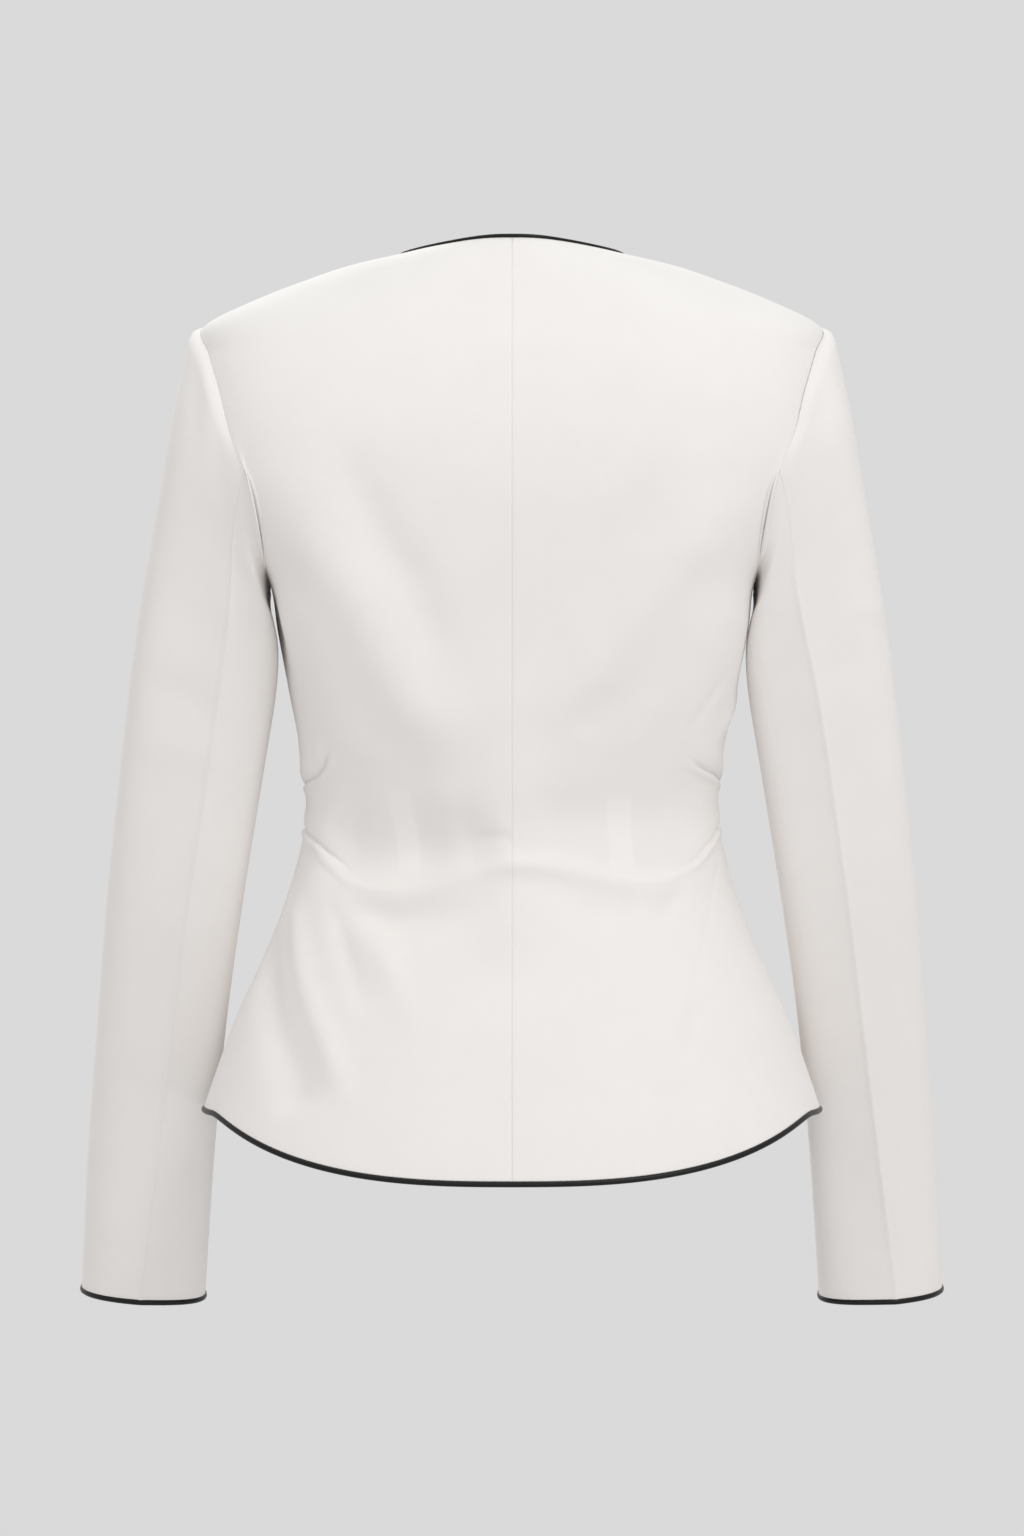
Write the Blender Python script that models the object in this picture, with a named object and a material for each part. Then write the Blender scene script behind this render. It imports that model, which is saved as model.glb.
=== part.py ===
"""Fitted collarless jacket with contrast piping, filled out as on a wearer.

Metres, +Z up. The wearer faces +Y, so the back of the jacket faces -Y and the wearer's right is +X.
The origin is the middle of the neck opening, level with the inner ends of the shoulder seams.
"""

import math
from collections import namedtuple

import bpy
import numpy as np

# Cloth, seams and trim
CLOTH_WALL = 0.0018
SEAM_GAP = 0.0003
PIPING_DIAMETER = 0.0044
PIPING_SIDES = 8

# Body form: level sections, each two half-ovals that meet at the side seams (y = 0)
BodySection = namedtuple("BodySection", "height half_width back_depth front_depth")
BODY_SECTIONS = (
    BodySection(-0.610, 0.2195, 0.1640, 0.1580),
    BodySection(-0.557, 0.2008, 0.1490, 0.1440),
    BodySection(-0.500, 0.1805, 0.1310, 0.1290),
    BodySection(-0.440, 0.1540, 0.1090, 0.1120),
    BodySection(-0.400, 0.1405, 0.0960, 0.1025),
    BodySection(-0.372, 0.1345, 0.0905, 0.0990),
    BodySection(-0.345, 0.1341, 0.0925, 0.1010),
    BodySection(-0.315, 0.1385, 0.0990, 0.1080),
    BodySection(-0.284, 0.1448, 0.1065, 0.1170),
    BodySection(-0.245, 0.1511, 0.1145, 0.1265),
    BodySection(-0.215, 0.1565, 0.1180, 0.1290),
    BodySection(-0.190, 0.1660, 0.1195, 0.1270),
    BodySection(-0.160, 0.1810, 0.1190, 0.1205),
    BodySection(-0.131, 0.1930, 0.1155, 0.1110),
    BodySection(-0.096, 0.2000, 0.1070, 0.0960),
    BodySection(-0.070, 0.2010, 0.0980, 0.0835),
    BodySection(-0.049, 0.1985, 0.0885, 0.0710),
    BodySection(-0.034, 0.1700, 0.0810, 0.0610),
    BodySection(-0.021, 0.1380, 0.0745, 0.0520),
    BodySection(-0.010, 0.1050, 0.0685, 0.0440),
    BodySection(-0.003, 0.0735, 0.0645, 0.0385),
    BodySection(0.008, 0.0250, 0.0580, 0.0310),
)
OVAL_POWER = 2.4

# Edges of the body panels
HEM_SIDE_HEIGHT = -0.5535
HEM_CENTRE_HEIGHT = {"back": -0.5897, "front": -0.570}
HEM_LEVEL_SHARE = 0.86
HEM_CURVE_TOP = -0.430
UNDERARM_HEIGHT = -0.215
SHOULDER_POINT_HEIGHT = -0.049
ARMHOLE_REACH = {"back": 0.0635, "front": 0.0580}
ARMHOLE_TOP_PULL = {"back": 0.33, "front": 0.20}
NECK_POINT_HEIGHT = -0.003
NECK_CENTRE_HEIGHT = {"back": 0.003, "front": -0.170}

# Tucks stitched into the side seams at the waist
Tuck = namedtuple("Tuck", "face side height climb sag run depth spread swell")
TUCKS = (
    Tuck("back", "left", -0.3430, 0.0150, 0.003, 0.080, 0.0036, 0.011, 1),
    Tuck("back", "left", -0.3760, -0.0140, 0.026, 0.185, 0.0036, 0.012, -1),
    Tuck("back", "right", -0.3425, 0.0150, 0.002, 0.080, 0.0030, 0.010, 1),
    Tuck("back", "right", -0.3775, -0.0120, 0.020, 0.185, 0.0030, 0.012, -1),
    Tuck("front", "left", -0.3430, 0.0130, 0.002, 0.070, 0.0030, 0.011, 1),
    Tuck("front", "left", -0.3760, -0.0100, 0.016, 0.140, 0.0030, 0.012, -1),
    Tuck("front", "right", -0.3425, 0.0120, 0.003, 0.075, 0.0028, 0.010, 1),
    Tuck("front", "right", -0.3775, -0.0090, 0.018, 0.150, 0.0030, 0.012, -1),
)
TUCK_SEAM_FADE = 0.010

# Sleeve form, right side: ovals fanned from the armhole to the cuff
SleeveSection = namedtuple(
    "SleeveSection", "outer_x outer_z inner_x inner_z mid_y half_depth back_drop"
)
SLEEVE_SECTIONS = (
    SleeveSection(0.1985, -0.0490, 0.1565, -0.2150, -0.0030, 0.0590, 0.0000),
    SleeveSection(0.2066, -0.0555, 0.1580, -0.2182, -0.0030, 0.0610, 0.0000),
    SleeveSection(0.2125, -0.0770, 0.1578, -0.2230, -0.0030, 0.0620, 0.0000),
    SleeveSection(0.2195, -0.1110, 0.1565, -0.2300, -0.0025, 0.0620, 0.0000),
    SleeveSection(0.2275, -0.1580, 0.1545, -0.2410, -0.0015, 0.0605, 0.0000),
    SleeveSection(0.2375, -0.2150, 0.1530, -0.2580, 0.0000, 0.0580, 0.0000),
    SleeveSection(0.2465, -0.2740, 0.1540, -0.2860, 0.0040, 0.0550, 0.0020),
    SleeveSection(0.2550, -0.3400, 0.1640, -0.3400, 0.0120, 0.0515, 0.0040),
    SleeveSection(0.2645, -0.4150, 0.1750, -0.4150, 0.0300, 0.0480, 0.0060),
    SleeveSection(0.2727, -0.4950, 0.1860, -0.4950, 0.0545, 0.0450, 0.0060),
    SleeveSection(0.2818, -0.5850, 0.1940, -0.5850, 0.0815, 0.0430, 0.0050),
    SleeveSection(0.2880, -0.6825, 0.2008, -0.6825, 0.1000, 0.0420, 0.0035),
)
HIND_SEAM_DEGREES = (99, 100, 101, 102, 102, 101, 100, 100, 98, 94, 88, 86)
FORE_SEAM_DEGREES = (-99, -100, -101, -102, -104, -106, -108, -110, -111, -112, -112, -112)
SLEEVE_OVAL_BLEND = 4.0

# Grid of points on each panel
RowBand = namedtuple("RowBand", "bottom top rows")
ROW_BANDS = (
    RowBand(HEM_SIDE_HEIGHT, -0.430, 5),
    RowBand(-0.430, -0.315, 13),
    RowBand(-0.315, UNDERARM_HEIGHT, 4),
)
UPPER_ROWS = 10
SLEEVE_SEAM_SHARE = 0.45
SPACING_PASSES = 12
NECK_COLUMNS = 5
COLUMNS = 13
COLUMN_CROWDING = 0.25
SLEEVE_COLUMNS = 10
RINGS_PER_SECTION = 2
OVAL_SAMPLES = 240

FACES = ("back", "front")
SIDES = ("left", "right")
IVORY = (0.87, 0.86, 0.84, 1.0)
BLACK = (0.012, 0.012, 0.013, 1.0)

BODY_TABLE = np.array(BODY_SECTIONS)
BODY_SLOPES = np.gradient(BODY_TABLE, BODY_TABLE[:, 0], axis=0)
SLEEVE_TABLE = np.column_stack([np.array(SLEEVE_SECTIONS), HIND_SEAM_DEGREES, FORE_SEAM_DEGREES])
SLEEVE_SLOPES = np.gradient(SLEEVE_TABLE, axis=0)
LAST_SECTION = len(SLEEVE_SECTIONS) - 1


def unit(vector):
    return vector / np.linalg.norm(vector)


def smooth(knots, values, slopes, at):
    """Cubic curves through the rows of values at the knots, read at one place."""
    k = int(np.clip(np.searchsorted(knots, at) - 1, 0, len(knots) - 2))
    span = knots[k + 1] - knots[k]
    s = (at - knots[k]) / span
    rise = s * s * (3 - 2 * s)
    return (
        values[k] * (1 - rise)
        + values[k + 1] * rise
        + span * (slopes[k] * s * (1 - s) ** 2 - slopes[k + 1] * s * s * (1 - s))
    )


# Body form

def body_sizes(face, height):
    """Half-width and depth of the body's oval at a height."""
    sizes = smooth(BODY_TABLE[:, 0], BODY_TABLE, BODY_SLOPES, height)
    return sizes[1], sizes[2] if face == "back" else sizes[3]


def oval_point(face, height, angle):
    """A point on the right half of the oval, from the centre line (0) to the side seam (90 degrees)."""
    half_width, depth = body_sizes(face, height)
    across = half_width * math.sin(angle) ** (2 / OVAL_POWER)
    away = depth * max(math.cos(angle), 0.0) ** (2 / OVAL_POWER)
    return np.array((across, -away if face == "back" else away, height))


def oval_share_point(face, height, share):
    """A point at a share of the way along the oval, from the centre line to the side seam."""
    angles = np.linspace(0, math.pi / 2, OVAL_SAMPLES)
    line = np.array([oval_point(face, height, a) for a in angles])
    along = np.concatenate([[0], np.cumsum(np.linalg.norm(np.diff(line, axis=0), axis=1))])
    return oval_point(face, height, float(np.interp(share * along[-1], along, angles)))


def body_level(point):
    """How far a point is off the body form (0 on it), and the gradient of that."""
    face = "back" if point[1] <= 0 else "front"
    step = 1e-5
    half_width, depth = body_sizes(face, point[2])
    half_width_up, depth_up = body_sizes(face, point[2] + step)
    x, y = abs(point[0]) / half_width, abs(point[1]) / depth
    level = x**OVAL_POWER + y**OVAL_POWER - 1
    x_up, y_up = abs(point[0]) / half_width_up, abs(point[1]) / depth_up
    level_up = x_up**OVAL_POWER + y_up**OVAL_POWER - 1
    slope = np.array((
        OVAL_POWER * x ** (OVAL_POWER - 1) / half_width * np.sign(point[0]),
        OVAL_POWER * y ** (OVAL_POWER - 1) / depth * np.sign(point[1]),
        (level_up - level) / step,
    ))
    return level, slope


def body_normal(point):
    return unit(body_level(point)[1])


def on_body(point):
    """The point pulled on to the body form, along the form's own slope."""
    for _ in range(4):
        level, slope = body_level(point)
        point = point - level * slope / (slope @ slope)
    return point


def armhole_point(angle):
    """The armhole seam, right side: 0 at the shoulder point, 180 degrees at the underarm, the back first."""
    face = "back" if angle <= math.pi else "front"
    middle = (SHOULDER_POINT_HEIGHT + UNDERARM_HEIGHT) / 2
    height = middle + (SHOULDER_POINT_HEIGHT - middle) * math.cos(angle)
    half_width, depth = body_sizes(face, height)
    pull = ARMHOLE_TOP_PULL[face] * ((1 + math.cos(angle)) / 2) ** 2
    away = ARMHOLE_REACH[face] * abs(math.sin(angle)) * (1 - pull)
    across = half_width * (1 - (away / depth) ** OVAL_POWER) ** (1 / OVAL_POWER)
    return np.array((across, -away if face == "back" else away, height))


def shoulder_height(across):
    """Height of the shoulder seam at a distance from the centre line."""
    low, high = SHOULDER_POINT_HEIGHT, NECK_POINT_HEIGHT
    for _ in range(40):
        middle = (low + high) / 2
        if body_sizes("back", middle)[0] > across:
            low = middle
        else:
            high = middle
    return middle


def top_edge_point(face, column):
    """Top edge of a panel: the neckline, and then the shoulder seam."""
    if column <= NECK_COLUMNS:
        share = column / NECK_COLUMNS
        centre = NECK_CENTRE_HEIGHT[face]
        if face == "back":
            height = centre + (NECK_POINT_HEIGHT - centre) * math.sin(share * math.pi / 2) ** 1.4
            return oval_point(face, height, share * math.pi / 2)
        height = centre + (NECK_POINT_HEIGHT - centre) * share
        neck_width = body_sizes(face, NECK_POINT_HEIGHT)[0]
        half_width, depth = body_sizes(face, height)
        across = neck_width * math.sin(share * math.pi / 2) ** 1.1
        away = depth * max(1 - (across / half_width) ** OVAL_POWER, 0) ** (1 / OVAL_POWER)
        return np.array((across, away, height))
    share = (column - NECK_COLUMNS) / (COLUMNS - NECK_COLUMNS)
    neck_width = body_sizes(face, NECK_POINT_HEIGHT)[0]
    shoulder_width = body_sizes(face, SHOULDER_POINT_HEIGHT)[0]
    across = neck_width + (shoulder_width - neck_width) * share
    return np.array((across, 0.0, shoulder_height(across)))


# Body panels

def column_share(column):
    """Columns stand a little closer together towards the side seam, where the tucks are."""
    share = column / COLUMNS
    return share + COLUMN_CROWDING * share * (1 - share)


def lower_row_heights():
    """Heights of the rows at the side seam, from the hem to the underarm."""
    heights = [ROW_BANDS[0].bottom]
    for band in ROW_BANDS:
        step = (band.top - band.bottom) / band.rows
        heights += [band.bottom + step * (k + 1) for k in range(band.rows)]
    return heights


def lower_row(face, side_height):
    """A row below the underarm. The hem's curve fades out on the way up to the waist."""
    left = np.clip((HEM_CURVE_TOP - side_height) / (HEM_CURVE_TOP - HEM_SIDE_HEIGHT), 0, 1)
    dip = (HEM_CENTRE_HEIGHT[face] - HEM_SIDE_HEIGHT) * left**1.5
    row = []
    for column in range(COLUMNS + 1):
        share = column_share(column)
        height = side_height + dip * max(1 - (share / HEM_LEVEL_SHARE) ** 2, 0) ** 1.5
        row.append(oval_share_point(face, height, share))
    return row


def armhole_turn(face, row):
    """Angle on the armhole of an upper row's end. One row ends where the sleeve's seam meets the armhole."""
    half = UPPER_ROWS // 2
    share = SLEEVE_SEAM_SHARE * row / half if row <= half else 1 - (1 - SLEEVE_SEAM_SHARE) * (UPPER_ROWS - row) / half
    return math.pi * (1 - share) if face == "back" else math.pi * (1 + share)


def upper_rows(face, bottom):
    """Rows from the underarm to the neckline and shoulder seam: a patch between its four edges, on the form."""
    top = np.array([top_edge_point(face, column) for column in range(COLUMNS + 1)])
    bottom = np.array(bottom)
    heights = np.linspace(bottom[0, 2], top[0, 2], UPPER_ROWS + 1)
    centre = [oval_point(face, height, 0) for height in heights]
    side = [armhole_point(armhole_turn(face, row)) for row in range(UPPER_ROWS + 1)]
    u = np.array([column_share(column) for column in range(COLUMNS + 1)])[:, None]
    rows = [bottom]
    for row in range(1, UPPER_ROWS):
        v = row / UPPER_ROWS
        corners = (1 - u) * ((1 - v) * bottom[0] + v * top[0]) + u * ((1 - v) * bottom[-1] + v * top[-1])
        rows.append((1 - v) * bottom + v * top + (1 - u) * centre[row] + u * side[row] - corners)
    patch = np.array(rows + [top])
    for _ in range(SPACING_PASSES):
        inside = (patch[:-2, 1:-1] + patch[2:, 1:-1] + patch[1:-1, :-2] + patch[1:-1, 2:]) / 4
        patch[1:-1, 1:-1] = [[on_body(point) for point in row] for row in inside]
    return list(patch[1:])


def body_grid(face):
    """Points of the right-hand panel, a row for each height from the hem up."""
    rows = [lower_row(face, height) for height in lower_row_heights()]
    return np.array(rows + upper_rows(face, rows[-1]))


def tuck_height(points, normals, face, side):
    """How far the tucks push the cloth out, or in at the crease, along each row from the side seam."""
    steps = np.linalg.norm(np.diff(points, axis=1), axis=2)
    from_seam = np.flip(np.cumsum(np.flip(steps, axis=1), axis=1), axis=1)
    from_seam = np.concatenate([from_seam, np.zeros((len(points), 1))], axis=1)
    push = np.zeros(points.shape[:2])
    for tuck in TUCKS:
        if (tuck.face, tuck.side) != (face, side):
            continue
        along = np.clip(from_seam / tuck.run, 0, 1)
        line = tuck.height + tuck.climb * along - tuck.sag * np.sin(math.pi * along)
        off_line = (points[:, :, 2] - line) * tuck.swell / tuck.spread
        swell = np.exp(-((off_line - 0.8) ** 2)) - 0.5 * np.exp(-((off_line / 0.5) ** 2))
        near = np.clip(from_seam / TUCK_SEAM_FADE, 0, 1)
        push += tuck.depth * swell * near * np.cos(along * math.pi / 2)
    return push


def armhole_directions(angle):
    """Outward directions of the body's wall and the sleeve's wall at the armhole seam, mitred where they agree."""
    body = body_normal(armhole_point(angle))
    sleeve = sleeve_normal(0.0, angle)
    agree = float(np.clip(body @ sleeve / 0.5, 0, 1))
    shared = unit(body + sleeve)
    return unit(body + (shared - body) * agree), unit(sleeve + (shared - sleeve) * agree)


def body_panel(face, side):
    """Outer points and outward directions of one body panel, on the right-hand side."""
    points = body_grid(face)
    normals = np.array([[body_normal(p) for p in row] for row in points])
    points = points + normals * tuck_height(points, normals, face, side)[:, :, None]
    for row in range(UPPER_ROWS + 1):
        normals[row - UPPER_ROWS - 1, -1] = armhole_directions(armhole_turn(face, row))[0]
    return points, normals


# Sleeves

def sleeve_oval(place, angle):
    sizes = smooth(np.arange(LAST_SECTION + 1), SLEEVE_TABLE, SLEEVE_SLOPES, place)
    outer_x, outer_z, inner_x, inner_z, mid_y, half_depth, back_drop = sizes[:7]
    centre = np.array(((outer_x + inner_x) / 2, mid_y, (outer_z + inner_z) / 2))
    outward = np.array(((outer_x - inner_x) / 2, 0.0, (outer_z - inner_z) / 2))
    backward = np.array((0.0, -half_depth, -back_drop))
    return centre + math.cos(angle) * outward + math.sin(angle) * backward


def sleeve_point(place, angle):
    """The right sleeve: place counts the sections from the armhole, angle 0 is the outer side, 90 degrees the back."""
    point = sleeve_oval(place, angle)
    left = max(1 - place / SLEEVE_OVAL_BLEND, 0.0) ** 2
    if left:
        point = point + left * (armhole_point(angle % (2 * math.pi)) - sleeve_oval(0.0, angle))
    return point


def sleeve_normal(place, angle):
    step = 1e-3
    low = min(place, LAST_SECTION - step)
    along = sleeve_point(low + step, angle) - sleeve_point(low, angle)
    around = sleeve_point(place, angle + step) - sleeve_point(place, angle - step)
    return unit(np.cross(around, along))


def sleeve_panel(kind):
    """Outer points and outward directions of the top sleeve or the under sleeve, on the right-hand side."""
    points, normals = [], []
    for place in np.linspace(0, LAST_SECTION, LAST_SECTION * RINGS_PER_SECTION + 1):
        hind, fore = smooth(np.arange(LAST_SECTION + 1), SLEEVE_TABLE, SLEEVE_SLOPES, place)[7:]
        start, end = (fore, hind) if kind == "top" else (hind, fore + 360)
        angles = np.radians(np.linspace(start, end, SLEEVE_COLUMNS + 1))
        points.append([sleeve_point(place, a) for a in angles])
        if place == 0:
            normals.append([armhole_directions(a % (2 * math.pi))[1] for a in angles])
        else:
            normals.append([sleeve_normal(place, a) for a in angles])
    return np.array(points), np.array(normals)


# Walls and piping

def inset(points, rows=(0, 0), columns=(0, 0)):
    """The grid with its first and last rows and columns drawn in by these lengths."""
    drawn = points.copy()
    for axis, (first, last) in enumerate((rows, columns)):
        lines = np.moveaxis(drawn, axis, 0)
        for edge, inner, length in ((0, 1, first), (-1, -2, last)):
            way = lines[inner] - lines[edge]
            lines[edge] += way / np.linalg.norm(way, axis=-1, keepdims=True) * length
    return drawn


def mirrored(points, side):
    return points * np.array((-1.0 if side == "left" else 1.0, 1.0, 1.0))


def add_object(name, vertices, faces, material):
    mesh = bpy.data.meshes.new(name)
    mesh.from_pydata([tuple(v) for v in vertices], [], faces)
    mesh.materials.append(material)
    mesh.shade_smooth()
    mesh.set_sharp_from_angle(angle=math.radians(40))
    piece = bpy.data.objects.new(name, mesh)
    bpy.data.collections["fitted_jacket"].objects.link(piece)
    return piece


def cloth_wall(name, points, normals, side, material):
    """A panel's wall: the grid of outer points, the same grid moved in by the wall, and the rim between them."""
    rows, columns = points.shape[:2]
    outer = points.reshape(-1, 3)
    inner = (points - normals * CLOTH_WALL).reshape(-1, 3)
    vertices = mirrored(np.concatenate([outer, inner]), side)
    grid = np.arange(rows * columns).reshape(rows, columns)
    back = grid + rows * columns
    faces = []
    for r in range(rows - 1):
        for c in range(columns - 1):
            faces.append([grid[r, c], grid[r, c + 1], grid[r + 1, c + 1], grid[r + 1, c]])
            faces.append([back[r, c], back[r + 1, c], back[r + 1, c + 1], back[r, c + 1]])
    rim = list(grid[0, :-1]) + list(grid[:-1, -1]) + list(grid[-1, :0:-1]) + list(grid[:0:-1, 0])
    for a, b in zip(rim, rim[1:] + rim[:1]):
        faces.append([a, a + rows * columns, b + rows * columns, b])
    middle = points[rows // 2, columns // 2]
    first = points[rows // 2, columns // 2 + 1] - middle
    second = points[rows // 2 + 1, columns // 2] - middle
    turned = np.cross(first, second) @ normals[rows // 2, columns // 2] < 0
    if turned != (side == "left"):
        faces = [face[::-1] for face in faces]
    return add_object(name, vertices, [[int(i) for i in face] for face in faces], material)


def piping(name, parts, closed, material):
    """A round piping along the cloth's edge. Each part is a panel's edge and the outward directions on it.

    The edge runs so that the open side is on its left, seen from outside the garment.
    """
    edge, ways = [], []
    for points, normals in parts:
        for point, normal in zip(points - normals * CLOTH_WALL / 2, normals):
            if edge and np.linalg.norm(point - edge[-1]) < PIPING_DIAMETER / 4:
                edge[-1] = (edge[-1] + point) / 2
                ways[-1] = unit(ways[-1] + normal)
            else:
                edge.append(point)
                ways.append(normal)
    count = len(edge)
    vertices, faces = [], []
    for k in range(count):
        before = edge[k - 1] if closed or k else edge[k]
        after = edge[(k + 1) % count] if closed or k < count - 1 else edge[k]
        ahead = unit(after - before)
        outward = unit(ways[k] - (ways[k] @ ahead) * ahead)
        off_edge = np.cross(outward, ahead)
        centre = edge[k] + off_edge * (PIPING_DIAMETER / 2 + SEAM_GAP)
        for s in range(PIPING_SIDES):
            turn = 2 * math.pi * s / PIPING_SIDES
            spoke = math.cos(turn) * outward - math.sin(turn) * off_edge
            vertices.append(centre + PIPING_DIAMETER / 2 * spoke)
    for k in range(count if closed else count - 1):
        here, there = k * PIPING_SIDES, (k + 1) % count * PIPING_SIDES
        for s in range(PIPING_SIDES):
            t = (s + 1) % PIPING_SIDES
            faces.append([here + s, here + t, there + t, there + s])
    if not closed:
        faces.append(list(reversed(range(PIPING_SIDES))))
        faces.append([(count - 1) * PIPING_SIDES + s for s in range(PIPING_SIDES)])
    return add_object(name, vertices, faces, material)


def panel_edge(panel, side, *places):
    """A panel's edge at these rows and columns, with its outward directions, on its own side."""
    points, normals = panel
    return mirrored(points[places], side), mirrored(normals[places], side)


def turned_back(edge):
    return edge[0][::-1], edge[1][::-1]


# Assembly

def make_material(name, colour, roughness):
    material = bpy.data.materials.new(name)
    material.use_nodes = True
    shader = material.node_tree.nodes["Principled BSDF"]
    shader.inputs["Base Color"].default_value = colour
    shader.inputs["Roughness"].default_value = roughness
    shader.inputs["Metallic"].default_value = 0.0
    return material


def make_body(cloth):
    """The four body panels. Returns each panel's points and directions before its edges are drawn in."""
    front_edge = PIPING_DIAMETER + 1.5 * SEAM_GAP
    panels = {}
    for face in FACES:
        for side in SIDES:
            points, normals = body_panel(face, side)
            centre_inset = SEAM_GAP / 2 if face == "back" else front_edge
            cut = inset(points, columns=(centre_inset, SEAM_GAP / 2))
            shoulder = inset(cut, rows=(0, SEAM_GAP / 2))
            cut[-1, NECK_COLUMNS:] = shoulder[-1, NECK_COLUMNS:]
            cloth_wall(f"{face}_{side}", cut, normals, side, cloth)
            panels[face, side] = (cut, normals)
    return panels


def make_sleeves(cloth):
    for kind in ("top", "under"):
        points, normals = sleeve_panel(kind)
        half = SEAM_GAP / 2
        cut = inset(points, rows=(half, 0), columns=(half, half))
        for side in SIDES:
            cloth_wall(f"{kind}_sleeve_{side}", cut, normals, side, cloth)


def make_cuff_piping(trim):
    """A closed ring of piping under each cuff."""
    for side in SIDES:
        parts = [panel_edge(sleeve_panel(kind), side, -1, slice(0, -1)) for kind in ("top", "under")]
        if side == "left":
            parts = [turned_back(part) for part in reversed(parts)]
        piping(f"cuff_piping_{side}", parts, True, trim)


def make_hem_piping(panels, trim):
    """One piping under the hem, from the right front edge round the back to the left front edge."""
    parts = []
    for face, side in (("front", "right"), ("back", "right"), ("back", "left"), ("front", "left")):
        points, ways = panel_edge(panels[face, side], side, 0, slice(None))
        if face == "front":
            end = points[:1] * np.array((0.0, 1.0, 1.0)) + np.sign(points[:1]) * (SEAM_GAP / 2, 0.0, 0.0)
            points, ways = np.concatenate([end, points]), np.concatenate([ways[:1], ways])
        outward_run = (face == "front") == (side == "right")
        parts.append((points, ways) if outward_run else turned_back((points, ways)))
    piping("hem_piping", parts, False, trim)


def make_front_piping(panels, trim):
    """One piping up the left front edge, round the neck and down the right front edge."""
    neck = slice(0, NECK_COLUMNS + 1)
    left = [
        panel_edge(panels["front", "left"], "left", slice(None), 0),
        panel_edge(panels["front", "left"], "left", -1, neck),
        turned_back(panel_edge(panels["back", "left"], "left", -1, neck)),
    ]
    right = [
        panel_edge(panels["back", "right"], "right", -1, neck),
        turned_back(panel_edge(panels["front", "right"], "right", -1, neck)),
        turned_back(panel_edge(panels["front", "right"], "right", slice(None), 0)),
    ]
    piping("neck_and_front_piping", left + right, False, trim)


def main():
    for item in list(bpy.data.objects):
        bpy.data.objects.remove(item)
    bpy.context.scene.collection.children.link(bpy.data.collections.new("fitted_jacket"))
    cloth = make_material("ivory_crepe", IVORY, 0.75)
    trim = make_material("black_satin_piping", BLACK, 0.45)
    panels = make_body(cloth)
    make_sleeves(cloth)
    make_front_piping(panels, trim)
    make_hem_piping(panels, trim)
    make_cuff_piping(trim)


main()
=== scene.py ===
import math
from collections import namedtuple

import bmesh
import bpy
import numpy as np
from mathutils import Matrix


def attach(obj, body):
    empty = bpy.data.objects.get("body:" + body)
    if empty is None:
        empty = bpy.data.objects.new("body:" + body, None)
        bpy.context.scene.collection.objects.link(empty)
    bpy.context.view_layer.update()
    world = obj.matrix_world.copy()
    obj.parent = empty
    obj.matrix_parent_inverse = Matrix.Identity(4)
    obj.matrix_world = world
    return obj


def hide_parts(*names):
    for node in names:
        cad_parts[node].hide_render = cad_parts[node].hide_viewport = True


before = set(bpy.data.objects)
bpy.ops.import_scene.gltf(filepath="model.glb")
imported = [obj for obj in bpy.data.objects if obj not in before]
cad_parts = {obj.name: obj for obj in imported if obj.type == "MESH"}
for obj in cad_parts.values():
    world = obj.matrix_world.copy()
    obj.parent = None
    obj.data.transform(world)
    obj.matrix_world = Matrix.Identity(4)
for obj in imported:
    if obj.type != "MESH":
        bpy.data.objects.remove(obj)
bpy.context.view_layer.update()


# Back
# Two panels of matte ivory crepe on a light fused interlining, sewn together down the centre back.
# Tucks caught in the side seams nip the waist, and soft folds drag from them across the back.

CLOTH = 0.0013
SEAM_DIP = 0.00024
SEAM_HALF_WIDTH = 0.0008
ARMHOLE_DIP = {"left": 0.00022, "right": 0.0005}
ARMHOLE_HALF_WIDTH = 0.0016
SEAM_STEPS = np.array((0, 0.0004, 0.0009, 0.0016, 0.0028, 0.0045))

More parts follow.
